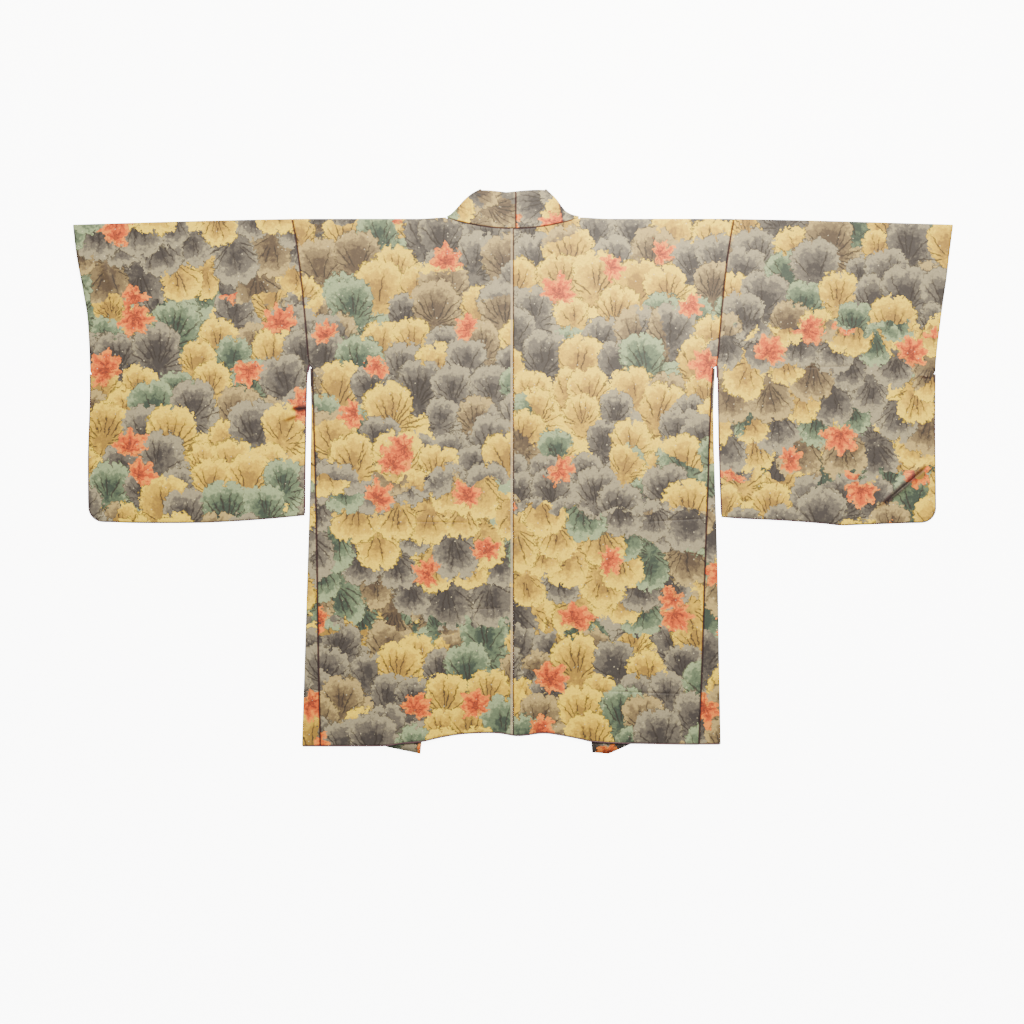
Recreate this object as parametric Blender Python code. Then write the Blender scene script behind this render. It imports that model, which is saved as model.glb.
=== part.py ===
"""Haori jacket laid out flat on its fronts, back panel up, sleeves spread.

Metres, +Z up. The collar points along +Y and the wearer's right sleeve along +X.
The origin is the middle of the jacket's footprint, on the surface that it lies on.
Every piece is the middle surface of a cloth wall, thickened by a Solidify modifier.
"""

import math

import bmesh
import bpy

# Cloth
WALL = 0.0012  # lined silk: shell and lining together
BAND_WALL = 0.0024  # collar band: doubled cloth over its core
SEAM_GAP = 0.0003  # between neighbouring pieces

# Heights of the middle surfaces above the floor
LOWER_MID = WALL / 2
UPPER_MID = 0.0032
BAND_LOWER_MID = BAND_WALL / 2
BAND_UPPER_MID = 0.0041
BAND_RIDGE = 0.0006  # lift of the back panel where it lies on the collar bands
TROUGH = 0.0016  # sag of the back panel between them

# Body, measured from the shoulder line (y = 0) and the centre-back seam (x = 0)
SHOULDER_Y = 0.0010
NECK_POINT_X = 0.0970
NECK_POINT_Y = 0.0030
NECKLINE_DEPTH = 0.0130
SLEEVE_ATTACH = 0.2120  # length of the armhole seam
GUSSET_TOP = 0.2165
FRONT_HEM_Y = -0.7600

# Collar band
COLLAR_SEAM_X = 0.0040
COLLAR_CORNER_X = 0.0480
COLLAR_CORNER_Y = 0.0450
COLLAR_DIP_X = -0.0100
COLLAR_DIP_Y = 0.0393

# Sleeves
CUFF_OPENING = 0.2250
SLEEVE_CORNER_RADIUS = 0.0200
SLEEVE_TIP_X = 0.6400
SLEEVE_TIP_DROP = 0.0085

# Where the band's fold begins at its sewn and its free edge; the outline lies a fold's depth further
SEWN_FOLD = (0.0950, 0.0022)
FREE_FOLD = (0.0460, 0.0427)

# The footprint runs from the band ends to the collar corners
BAND_END_Y = -0.7770
MIDDLE_Y = (COLLAR_CORNER_Y + BAND_END_Y) / 2

# Grid counts
BODY_COLUMNS = 9  # side seam to neck point
NECK_COLUMNS = 6  # neck point to centre back
ARMHOLE_ROWS = 8
SIDE_ROWS = 20
FRONT_SIDE_ROWS = 12
SLEEVE_COLUMNS = 14
CUFF_ROWS = ARMHOLE_ROWS + 1
LOWER_SLEEVE_ROWS = 10
GUSSET_COLUMNS = 2
BAND_COLUMNS = 3
FRONT_BAND_ROWS = 22
FOLD_ANGLES = (45, 90, 135)  # steps round a folded edge, in degrees

# Armhole seam: (drop below the shoulder, distance from the centre)
ARMHOLE_SEAM = (
    (-0.010, 0.3230), (0.000, 0.3210), (0.040, 0.3140), (0.080, 0.3088),
    (0.120, 0.3046), (0.165, 0.3006), (0.212, 0.2970),
)

# Side of the body below the armhole: (drop, gusset seam, outer fold of the gusset)
BODY_SIDE = {
    "left": (
        (0.212, 0.2925, 0.2955), (0.280, 0.2900, 0.2935), (0.400, 0.2868, 0.2956),
        (0.495, 0.2850, 0.2985), (0.640, 0.2828, 0.3030), (0.770, 0.2800, 0.3072),
    ),
    "right": (
        (0.212, 0.2910, 0.2940), (0.280, 0.2870, 0.2905), (0.380, 0.2835, 0.2925),
        (0.490, 0.2796, 0.2956), (0.640, 0.2750, 0.2980), (0.770, 0.2700, 0.3000),
    ),
}

# Back hem from the centre outwards: (distance from the centre, drop below the shoulder)
BACK_HEM = {
    "left": (
        (0.000, 0.7506), (0.019, 0.7472), (0.048, 0.7470), (0.077, 0.7488), (0.106, 0.7534),
        (0.134, 0.7596), (0.163, 0.7622), (0.186, 0.7655), (0.250, 0.7660), (0.310, 0.7660),
    ),
    "right": (
        (0.000, 0.7508), (0.010, 0.7510), (0.039, 0.7472), (0.068, 0.7500), (0.098, 0.7556),
        (0.115, 0.7593), (0.156, 0.7618), (0.185, 0.7622), (0.243, 0.7634), (0.310, 0.7632),
    ),
}

# Outer edge of the sleeve: (drop, distance from the centre)
SLEEVE_OUTER = {
    "left": (
        (0.005, SLEEVE_TIP_X), (0.052, 0.6345), (0.105, 0.6248), (0.140, 0.6190), (0.175, 0.6165),
        (0.227, 0.6145), (0.262, 0.6145), (0.306, 0.6160), (0.349, 0.6172), (0.445, 0.6165),
    ),
    "right": (
        (0.005, SLEEVE_TIP_X), (0.052, 0.6340), (0.087, 0.6300), (0.122, 0.6248), (0.157, 0.6202),
        (0.192, 0.6160), (0.227, 0.6135), (0.262, 0.6130), (0.349, 0.6132), (0.445, 0.6145),
    ),
}

# Lower edge of the sleeve: (distance from the centre, drop)
SLEEVE_LOWER = {
    "left": (
        (0.295, 0.4285), (0.339, 0.4330), (0.397, 0.4375), (0.456, 0.4402),
        (0.543, 0.4404), (0.594, 0.4390), (0.625, 0.4380),
    ),
    "right": (
        (0.295, 0.4310), (0.330, 0.4340), (0.389, 0.4368), (0.447, 0.4410),
        (0.476, 0.4438), (0.505, 0.4430), (0.563, 0.4410), (0.625, 0.4390),
    ),
}

# Inner edge of the sleeve below the armhole: (drop, distance from the centre)
SLEEVE_INNER = {
    "left": ((0.212, 0.2975), (0.235, 0.3000), (0.350, 0.3022), (0.445, 0.3032)),
    "right": ((0.212, 0.2975), (0.235, 0.2982), (0.320, 0.2995), (0.385, 0.3014), (0.445, 0.3038)),
}

# Lower end of each collar band: (distance from the centre, y) of its sewn and free edges
BAND_END = {
    "left": ((0.1840, -0.7670), (0.1347, BAND_END_Y)),
    "right": ((0.1720, -0.7610), (0.1140, BAND_END_Y)),
}

# Largest folds of the upper layer: centre x, y, direction in degrees, then length, width and height
FOLDS = (
    # x, y, direction, length, width, height
    (0.572, -0.385, 38, 0.130, 0.014, 0.0011),
    (0.590, -0.232, -4, 0.080, 0.012, 0.0007),
    (-0.315, -0.272, 12, 0.050, 0.012, 0.0009),
    (0.018, -0.665, 62, 0.110, 0.014, 0.0010),
    (0.160, -0.690, 1, 0.260, 0.012, 0.0005),
    (-0.070, -0.438, 1, 0.250, 0.012, 0.0005),
    (-0.180, -0.560, 84, 0.260, 0.040, 0.0006),
    (0.200, -0.470, 97, 0.300, 0.045, 0.0006),
    (-0.450, -0.210, 70, 0.260, 0.050, 0.0007),
    (0.440, -0.180, 110, 0.260, 0.050, 0.0007),
)

# Cross waves of the upper layer: (cycles per metre along x, along y, phase, height)
RIPPLES = (
    (2.9, 1.7, 0.6, 0.00020),
    (-4.6, 3.9, 2.1, 0.00014),
    (7.3, -5.8, 4.0, 0.00008),
)


def smooth(t):
    """0 to 1 with level ends."""
    t = min(1.0, max(0.0, t))
    return t * t * (3 - 2 * t)


def along(rows, at, column=1):
    """A smooth curve through a table's rows, read at the first column's value."""
    at = min(max(at, rows[0][0]), rows[-1][0])
    i = next(k for k in range(1, len(rows)) if at <= rows[k][0])
    left, right = rows[i - 1], rows[i]
    before, after = rows[max(i - 2, 0)], rows[min(i + 1, len(rows) - 1)]
    span = right[0] - left[0]
    t = (at - left[0]) / span
    slope_left = (right[column] - before[column]) / (right[0] - before[0]) * span
    slope_right = (after[column] - left[column]) / (after[0] - left[0]) * span
    return (
        (2 * t**3 - 3 * t**2 + 1) * left[column]
        + (t**3 - 2 * t**2 + t) * slope_left
        + (3 * t**2 - 2 * t**3) * right[column]
        + (t**3 - t**2) * slope_right
    )


def between(a, b, t):
    return a + (b - a) * t


def side_sign(side):
    return -1 if side == "left" else 1


# ---- Outlines -------------------------------------------------------------------------------


def shoulder_y(distance):
    """Height of the shoulder line: it lifts a little towards the neck and drops along the sleeve."""
    near_neck = smooth((0.140 - distance) / 0.043)
    drop = max(0.0, distance - 0.300) / (SLEEVE_TIP_X - 0.300)
    return SHOULDER_Y + (NECK_POINT_Y - SHOULDER_Y) * near_neck - SLEEVE_TIP_DROP * drop**1.3


def neckline_y(x):
    return -NECKLINE_DEPTH + (NECK_POINT_Y + NECKLINE_DEPTH) * (x / NECK_POINT_X) ** 2


def body_side_x(side, y):
    """Distance of the body panel's side edge from the centre: armhole seam, then gusset seam."""
    if -y <= SLEEVE_ATTACH:
        return along(ARMHOLE_SEAM, -y)
    return min(along(ARMHOLE_SEAM, -y), along(BODY_SIDE[side], -y))


def collar_top_y(x):
    """Free edge of the collar behind the neck, with a shallow dip left of the middle."""
    if x < COLLAR_DIP_X:
        t = (x + COLLAR_CORNER_X) / (COLLAR_DIP_X + COLLAR_CORNER_X)
        return between(COLLAR_CORNER_Y, COLLAR_DIP_Y, t)
    t = (x - COLLAR_DIP_X) / (COLLAR_CORNER_X - COLLAR_DIP_X)
    return between(COLLAR_DIP_Y, COLLAR_CORNER_Y, t)


# ---- Relief of the upper layer --------------------------------------------------------------


def fold_height(x, y):
    total = 0.0
    for centre_x, centre_y, direction, length, width, height in FOLDS:
        angle = math.radians(direction)
        dx, dy = x - centre_x, y - centre_y
        run = dx * math.cos(angle) + dy * math.sin(angle)
        across = -dx * math.sin(angle) + dy * math.cos(angle)
        fade = smooth(1.3 * (1 - abs(run) / (length / 2)))
        total += height * fade * math.exp(-((across / (width / 2)) ** 2))
    return total


def ripple_height(x, y):
    return sum(
        height * math.sin(2 * math.pi * (along_x * x + along_y * y) + phase)
        for along_x, along_y, phase, height in RIPPLES
    )


def band_edge_x(side, y, edge):
    """Distance from the centre of the band's sewn (0) or free (1) edge under the back panel."""
    start_x, start_y = ((NECK_POINT_X, NECK_POINT_Y), (COLLAR_CORNER_X, COLLAR_CORNER_Y))[edge]
    end_x, end_y = BAND_END[side][edge]
    return between(start_x, end_x, (start_y - y) / (start_y - end_y))


def over_bands(x, y):
    """The back panel rides over the collar bands and sinks between them, more towards the hem."""
    side = "left" if x < 0 else "right"
    free, sewn = band_edge_x(side, y, 1), band_edge_x(side, y, 0)
    ridge = smooth((abs(x) - free + 0.018) / 0.016) * smooth((sewn + 0.022 - abs(x)) / 0.020)
    sag = smooth((free - 0.020 - abs(x)) / 0.045) * smooth((-y - 0.05) / 0.25)
    return BAND_RIDGE * ridge - TROUGH * sag


def upper_z(x, y):
    """Height of the middle surface of whatever lies uppermost at this place."""
    relief = ripple_height(x, y) + fold_height(x, y) + over_bands(x, y)
    near_neck = smooth((0.115 - abs(x)) / 0.03) * smooth((y + 0.10) / 0.05)
    return UPPER_MID + between(relief, BAND_RIDGE, near_neck)


# ---- Making solids --------------------------------------------------------------------------


def silk(name, colour, roughness=0.75):
    material = bpy.data.materials.new(name)
    material.use_nodes = True
    shader = material.node_tree.nodes["Principled BSDF"]
    shader.inputs["Base Color"].default_value = (*colour, 1)
    shader.inputs["Roughness"].default_value = roughness
    shader.inputs["Metallic"].default_value = 0.0
    shader.inputs["Sheen Weight"].default_value = 0.25
    return material


def new_layer(bm, points):
    """Vertices for a grid of (x, y, z) points, in rows, moved to the jacket's own frame."""
    return [[bm.verts.new((x, y - MIDDLE_Y, z)) for x, y, z in row] for row in points]


def fill_grid(bm, rows):
    for low, high in zip(rows, rows[1:]):
        for k in range(len(low) - 1):
            bm.faces.new((low[k], low[k + 1], high[k + 1], high[k]))


def fold_edge(bm, upper, lower, outward):
    """Joins two stacked edges by a half-round fold that bulges along each outward direction."""
    columns = []
    for top, bottom, (out_x, out_y) in zip(upper, lower, outward):
        radius = (top.co.z - bottom.co.z) / 2
        column = [top]
        for degrees in FOLD_ANGLES:
            angle = math.radians(degrees)
            reach = radius * math.sin(angle)
            height = bottom.co.z + radius * (1 + math.cos(angle))
            column.append(
                bm.verts.new((top.co.x + out_x * reach, top.co.y + out_y * reach, height))
            )
        columns.append([*column, bottom])
    fill_grid(bm, columns)


def cloth_object(name, bm, thickness, material):
    bmesh.ops.recalc_face_normals(bm, faces=bm.faces)
    mesh = bpy.data.meshes.new(name)
    bm.to_mesh(mesh)
    bm.free()
    mesh.materials.append(material)
    mesh.shade_smooth()
    mesh.set_sharp_from_angle(angle=math.radians(40))
    piece = bpy.data.objects.new(name, mesh)
    bpy.context.scene.collection.objects.link(piece)
    wall = piece.modifiers.new("cloth wall", "SOLIDIFY")
    wall.thickness = thickness
    wall.offset = 0
    wall.use_even_offset = True
    wall.use_quality_normals = True
    return piece


def normal_of(points, k, turn):
    """Unit normal of a polyline at point k, to its left (turn 1) or right (turn -1)."""
    before, after = points[max(k - 1, 0)], points[min(k + 1, len(points) - 1)]
    dx, dy = after[0] - before[0], after[1] - before[1]
    length = math.hypot(dx, dy)
    return (-dy / length * turn, dx / length * turn)


def fold_inset(x, y, lower_mid=LOWER_MID, wall=WALL):
    """How far a folded edge's grid stops short of the outline, so that the fold reaches it."""
    return (upper_z(x, y) - lower_mid) / 2 + wall / 2


# ---- Body: back and front of one side, cut in one over the shoulder -------------------------


def side_rows(top_y, end_y, lower_rows):
    """Row heights from the top to the end, with a close pair of rows at the top of the gusset."""
    upper = [between(top_y, -SLEEVE_ATTACH, k / ARMHOLE_ROWS) for k in range(ARMHOLE_ROWS + 1)]
    lower = [between(-GUSSET_TOP, end_y, k / lower_rows) for k in range(lower_rows + 1)]
    return upper + lower


def back_hem_y(side, distance):
    return -along(BACK_HEM[side], distance) + WALL / 2


def fold_start_y(x, sign):
    """Where the fold over the shoulder begins, so that it ends on the shoulder line."""
    return shoulder_y(x) - fold_inset(sign * x, shoulder_y(x))


def neck_columns():
    """Distances from the centre of the columns between the neck point and the centre back."""
    return [NECK_POINT_X * (1 - k / NECK_COLUMNS) for k in range(1, NECK_COLUMNS + 1)]


def body_half(side, material):
    sign = side_sign(side)
    shoulder_end = along(ARMHOLE_SEAM, 0)
    shoulder = [between(shoulder_end, NECK_POINT_X, k / BODY_COLUMNS) for k in range(BODY_COLUMNS + 1)]

    def top_y(x):
        if x > NECK_POINT_X - 1e-9:
            return fold_start_y(x, sign)
        return neckline_y(x) - SEAM_GAP

    def back_column(x_top):
        hem_y = back_hem_y(side, x_top / shoulder_end * along(BODY_SIDE[side], 0.77))
        points = []
        for y in side_rows(top_y(x_top), hem_y, SIDE_ROWS):
            narrowing = between(1, body_side_x(side, y) / shoulder_end, smooth(x_top / NECK_POINT_X))
            x = max(x_top * narrowing, SEAM_GAP / 2)
            points.append((sign * x, y, upper_z(sign * x, y)))
        return points

    def front_column(x_top):
        across = (x_top - NECK_POINT_X) / (shoulder_end - NECK_POINT_X)
        points = []
        for k, y in enumerate(side_rows(top_y(x_top), FRONT_HEM_Y, FRONT_SIDE_ROWS)):
            inner = band_edge_x(side, y, 0) + SEAM_GAP
            x = between(inner, body_side_x(side, y), across) if k else back_column(x_top)[0][0] * sign
            points.append((sign * x, y, LOWER_MID))
        return points

    bm = bmesh.new()
    back = new_layer(bm, [back_column(x) for x in shoulder + neck_columns()])
    front = new_layer(bm, [front_column(x) for x in shoulder])
    fill_grid(bm, back)
    fill_grid(bm, front)
    fold_edge(
        bm,
        [column[0] for column in back[: len(shoulder)]],
        [column[0] for column in front],
        [(0, 1)] * len(shoulder),
    )
    return cloth_object(f"body_{side}", bm, WALL, material)


# ---- Sleeve: one piece folded along the shoulder line, sewn below and outside ---------------


def sleeve(side, material):
    sign = side_sign(side)
    rows = CUFF_ROWS + LOWER_SLEEVE_ROWS

    def inner_x(y):
        if -y <= SLEEVE_ATTACH:
            return along(ARMHOLE_SEAM, -y) + SEAM_GAP
        return along(SLEEVE_INNER[side], -y) + SEAM_GAP

    def outline_y(x, v):
        """Grid height: the cuff rows reach down to the cuff's lower end, the others below it."""
        low = -along(SLEEVE_LOWER[side], x)
        low += fold_inset(sign * x, low)
        if v <= ARMHOLE_ROWS:
            return between(fold_start_y(x, sign), -SLEEVE_ATTACH, v / ARMHOLE_ROWS)
        return between(-CUFF_OPENING, low, (v - CUFF_ROWS) / LOWER_SLEEVE_ROWS)

    def rounded(x, y, edge_x, edge_y, radius):
        """Pulls a square corner's points onto a quarter circle."""
        a, b = x - (edge_x - radius), (edge_y + radius) - y
        if a <= 0 or b <= 0:
            return x, y
        pull = max(a, b) / math.hypot(a, b)
        return edge_x - radius + a * pull, edge_y + radius - b * pull

    def grid_point(u, v):
        x = between(0.31, SLEEVE_TIP_X, u / SLEEVE_COLUMNS)
        for _ in range(4):
            y = outline_y(x, v)
            edge = along(SLEEVE_OUTER[side], -y)
            inset = fold_inset(sign * edge, y) if v >= CUFF_ROWS else 0.0
            x = between(inner_x(y), edge - inset, u / SLEEVE_COLUMNS)
        low = outline_y(x, rows)
        inset = fold_inset(sign * edge, y)
        if v > CUFF_ROWS:
            x, y = rounded(x, y, edge - inset, low, SLEEVE_CORNER_RADIUS - inset)
        return x, y

    bm = bmesh.new()
    flat = [[grid_point(u, v) for u in range(SLEEVE_COLUMNS + 1)] for v in range(rows + 1)]
    upper = new_layer(bm, [[(sign * x, y, upper_z(sign * x, y)) for x, y in row] for row in flat])
    lower = new_layer(bm, [[(sign * x, y, LOWER_MID) for x, y in row] for row in flat])
    fill_grid(bm, upper)
    fill_grid(bm, lower)

    fold_edge(bm, upper[0], lower[0], [(0, 1)] * (SLEEVE_COLUMNS + 1))

    round_seam = [(rows, u) for u in range(SLEEVE_COLUMNS + 1)]
    round_seam += [(v, SLEEVE_COLUMNS) for v in range(rows - 1, CUFF_ROWS - 1, -1)]
    path = [flat[v][u] for v, u in round_seam]
    outward = []
    for k in range(len(path)):
        out_x, out_y = normal_of(path, k, -1)
        outward.append((sign * out_x, out_y))
    fold_edge(
        bm, [upper[v][u] for v, u in round_seam], [lower[v][u] for v, u in round_seam], outward
    )
    return cloth_object(f"sleeve_{side}", bm, WALL, material)


# ---- Gusset: narrow wedge folded lengthwise between back and front --------------------------


def gusset(side, material):
    sign = side_sign(side)
    rows = side_rows(0, back_hem_y(side, 0.300), SIDE_ROWS)[ARMHOLE_ROWS + 1 :]

    def gusset_row(y):
        seam = along(BODY_SIDE[side], -y, 1) + SEAM_GAP
        fold = along(BODY_SIDE[side], -y, 2)
        fold = max(fold - fold_inset(sign * fold, y), seam + 0.0006)
        return [(between(seam, fold, u / GUSSET_COLUMNS), y) for u in range(GUSSET_COLUMNS + 1)]

    bm = bmesh.new()
    flat = [gusset_row(y) for y in rows]
    upper = new_layer(bm, [[(sign * x, y, upper_z(sign * x, y)) for x, y in row] for row in flat])
    lower = new_layer(bm, [[(sign * x, y, LOWER_MID) for x, y in row] for row in flat])
    fill_grid(bm, upper)
    fill_grid(bm, lower)
    fold_edge(
        bm, [row[-1] for row in upper], [row[-1] for row in lower], [(sign, 0)] * len(upper)
    )
    return cloth_object(f"gusset_{side}", bm, WALL, material)


# ---- Collar: a band behind the neck that folds under and runs down the front ----------------


def collar_half(side, material):
    sign = side_sign(side)
    run_x = SEWN_FOLD[0] - FREE_FOLD[0]
    run_y = FREE_FOLD[1] - SEWN_FOLD[1]
    length = math.hypot(run_x, run_y)
    outward = (sign * run_y / length, run_x / length)
    centre_x = sign * COLLAR_SEAM_X + SEAM_GAP / 2

    def band_row(sewn, free, z):
        shares = [k / BAND_COLUMNS for k in range(BAND_COLUMNS + 1)]
        return [(sign * between(sewn[0], free[0], t), between(sewn[1], free[1], t), z) for t in shares]

    def neck_row(sewn_x):
        """One row across the band behind the neck, at a column of the body panel."""
        t = (sewn_x - centre_x) / (SEWN_FOLD[0] - centre_x)
        free_x = between(centre_x, FREE_FOLD[0], t)
        free_y = collar_top_y(sign * free_x) + (FREE_FOLD[1] - COLLAR_CORNER_Y) * t**3
        sewn_y = SEWN_FOLD[1] if t > 0.999 else neckline_y(sewn_x)
        height = between(BAND_UPPER_MID - 0.0004, BAND_UPPER_MID, smooth(t))
        return band_row((sewn_x, sewn_y), (free_x, free_y), height)

    def front_row(t):
        sewn_end, free_end = BAND_END[side]
        sewn = between(SEWN_FOLD[0], sewn_end[0] - SEAM_GAP, t), between(SEWN_FOLD[1], sewn_end[1], t)
        free = between(FREE_FOLD[0], free_end[0], t), between(FREE_FOLD[1], free_end[1], t)
        return band_row(sewn, free, BAND_LOWER_MID)

    sewn_xs = [x for x in reversed(neck_columns()) if x > centre_x + 0.004]
    bm = bmesh.new()
    neck = new_layer(bm, [neck_row(x) for x in [centre_x, *sewn_xs, SEWN_FOLD[0]]])
    front = new_layer(bm, [front_row(k / FRONT_BAND_ROWS) for k in range(FRONT_BAND_ROWS + 1)])
    fill_grid(bm, neck)
    fill_grid(bm, front)
    fold_edge(bm, neck[-1], front[0], [outward] * (BAND_COLUMNS + 1))
    return cloth_object(f"collar_{side}", bm, BAND_WALL, material)


def main():
    for old in list(bpy.data.objects):
        bpy.data.objects.remove(old)
    printed_body = silk("printed silk, body", (0.42, 0.36, 0.23))
    printed_sleeve = silk("printed silk, sleeves", (0.40, 0.33, 0.22))
    printed_gusset = silk("printed silk, gussets", (0.33, 0.30, 0.22))
    printed_band = silk("printed silk, collar", (0.36, 0.31, 0.20), roughness=0.7)
    for side in ("left", "right"):
        body_half(side, printed_body)
        sleeve(side, printed_sleeve)
        gusset(side, printed_gusset)
        collar_half(side, printed_band)


main()
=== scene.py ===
"""Haori jacket laid flat with its back up: cloth surfaces, print, lining edges, light and camera."""

import math

import bmesh
import bpy
import numpy as np
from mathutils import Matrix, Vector


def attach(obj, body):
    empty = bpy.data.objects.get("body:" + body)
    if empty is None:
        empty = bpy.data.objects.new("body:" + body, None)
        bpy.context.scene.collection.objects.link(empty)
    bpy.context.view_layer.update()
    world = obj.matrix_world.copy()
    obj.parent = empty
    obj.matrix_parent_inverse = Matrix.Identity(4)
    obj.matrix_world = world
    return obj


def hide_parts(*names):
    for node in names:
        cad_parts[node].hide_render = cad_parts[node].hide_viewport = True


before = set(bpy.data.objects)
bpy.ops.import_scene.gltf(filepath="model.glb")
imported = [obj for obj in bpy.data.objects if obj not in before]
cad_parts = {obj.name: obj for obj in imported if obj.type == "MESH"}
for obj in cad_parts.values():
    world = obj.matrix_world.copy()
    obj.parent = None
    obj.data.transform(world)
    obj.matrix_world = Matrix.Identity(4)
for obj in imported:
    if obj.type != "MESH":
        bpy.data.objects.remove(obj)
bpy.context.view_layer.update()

# ---- Sizes, in metres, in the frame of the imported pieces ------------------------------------

WALL = 0.0012
BAND_WALL = 0.0024
SEAM_GAP = 0.00001  # the solids' seams are wider; here the sewn edges meet
LOWER_MID = WALL / 2
UPPER_MID = 0.0032
BAND_LOWER_MID = BAND_WALL / 2
BAND_UPPER_MID = 0.0041
BAND_RIDGE = 0.0006
TROUGH = 0.0016

SHOULDER_Y = 0.0010
SHOULDER_DROP_FROM = 0.3000  # distance from the centre, past which the shoulder line falls away
SHOULDER_DROP_CURVE = 1.3
NECK_POINT_X = 0.0970
NECK_POINT_Y = 0.0030
NECKLINE_DEPTH = 0.0130
SLEEVE_ATTACH = 0.2120
GUSSET_TOP = 0.2165
GUSSET_HEM_X = 0.3000
GUSSET_LEAST_WIDTH = 0.0006
FRONT_HEM_Y = -0.7600
COLLAR_SEAM_X = 0.0040
COLLAR_CORNER = (0.0480, 0.0450)
COLLAR_DIP = (-0.0100, 0.0393)
SEWN_FOLD = (0.0950, 0.0022)
FREE_FOLD = (0.0460, 0.0427)
CUFF_OPENING = 0.2250
CUFF_ROWS = 3  # rows of the grid from under the arm to the cuff opening's end
SLEEVE_CORNER_RADIUS = 0.0200
SLEEVE_TIP_X = 0.6400
SLEEVE_TIP_DROP = 0.0085
BAND_END_Y = -0.7770
BAND_DIP = 0.0004  # how much lower the collar lies at its centre seam than at its corners
BAND_CALM_SHARE = 0.3  # share of the band's width over which its creases grow from the neck seam up
BULGE_FADE_SHARE = 0.12  # share of the front band's length over which the collar's bulge fades
BAND_TURN_LENGTH = 0.11  # the band's length from the centre back to where it passes the shoulder
MIDDLE_Y = (COLLAR_CORNER[1] + BAND_END_Y) / 2

# Rough sizes of the pieces, from which their grids are divided
SLEEVE_WIDTH = 0.32
SLEEVE_BELOW_CUFF = 0.215
GUSSET_LENGTH = 0.55
GUSSET_WIDTH = 0.027
NECK_BAND_LENGTH = 0.08
FRONT_BAND_LENGTH = 0.79

ARMHOLE_SEAM = (
    (-0.010, 0.3230), (0.000, 0.3210), (0.040, 0.3140), (0.080, 0.3088),
    (0.120, 0.3046), (0.165, 0.3006), (0.212, 0.2970),
)
BODY_SIDE = {
    "left": (
        (0.212, 0.2925, 0.2955), (0.280, 0.2900, 0.2935), (0.400, 0.2868, 0.2956),
        (0.495, 0.2850, 0.2985), (0.640, 0.2828, 0.3030), (0.770, 0.2800, 0.3072),
    ),
    "right": (
        (0.212, 0.2910, 0.2940), (0.280, 0.2870, 0.2912), (0.380, 0.2835, 0.2937),
        (0.490, 0.2796, 0.2971), (0.640, 0.2750, 0.2998), (0.770, 0.2700, 0.3022),
    ),
}
BACK_HEM = {
    "left": (
        (0.000, 0.7506), (0.019, 0.7472), (0.048, 0.7470), (0.077, 0.7488), (0.106, 0.7534),
        (0.134, 0.7596), (0.163, 0.7622), (0.186, 0.7655), (0.250, 0.7660), (0.310, 0.7660),
    ),
    "right": (
        (0.000, 0.7508), (0.010, 0.7510), (0.039, 0.7472), (0.068, 0.7500), (0.098, 0.7556),
        (0.115, 0.7593), (0.156, 0.7618), (0.185, 0.7622), (0.243, 0.7634), (0.310, 0.7632),
    ),
}
SLEEVE_OUTER = {
    "left": (
        (0.005, SLEEVE_TIP_X), (0.052, 0.6345), (0.105, 0.6248), (0.140, 0.6190), (0.175, 0.6165),
        (0.227, 0.6145), (0.262, 0.6145), (0.306, 0.6160), (0.349, 0.6172), (0.445, 0.6165),
    ),
    "right": (
        (0.005, SLEEVE_TIP_X), (0.052, 0.6340), (0.087, 0.6300), (0.122, 0.6248), (0.157, 0.6202),
        (0.192, 0.6160), (0.227, 0.6135), (0.262, 0.6130), (0.349, 0.6132), (0.445, 0.6145),
    ),
}
SLEEVE_LOWER = {
    "left": (
        (0.295, 0.4285), (0.339, 0.4330), (0.397, 0.4375), (0.456, 0.4402),
        (0.543, 0.4404), (0.594, 0.4390), (0.625, 0.4380),
    ),
    "right": (
        (0.295, 0.4310), (0.330, 0.4340), (0.389, 0.4368), (0.447, 0.4410),
        (0.476, 0.4438), (0.505, 0.4430), (0.563, 0.4410), (0.625, 0.4390),
    ),
}
SLEEVE_INNER = {
    "left": ((0.212, 0.2975), (0.235, 0.3000), (0.350, 0.3022), (0.445, 0.3032)),
    "right": ((0.212, 0.2975), (0.235, 0.2982), (0.320, 0.2995), (0.385, 0.3014), (0.445, 0.3038)),
}
BAND_END = {
    # share of the way from the sewn edge to the free one, x, y
    "left": ((0.0, 0.1840, -0.7670), (1.0, 0.1347, BAND_END_Y)),
    "right": ((0.0, 0.1740, -0.7615), (0.61, 0.1390, BAND_END_Y), (1.0, 0.1150, -0.7749)),
}
# How far the collar's folded side stands out from a straight line, from the neck seam up
COLLAR_BULGE = {
    "left": ((0.00, 0.0), (0.10, -0.0012), (0.30, 0.0), (0.55, 0.0024), (0.78, 0.0026), (1.0, 0.0)),
    "right": (
        (0.00, 0.0), (0.11, -0.0034), (0.22, -0.0056), (0.32, -0.0066), (0.44, -0.0054),
        (0.55, -0.0036), (0.66, -0.0018), (0.80, -0.0008), (1.0, 0.0),
    ),
}

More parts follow.
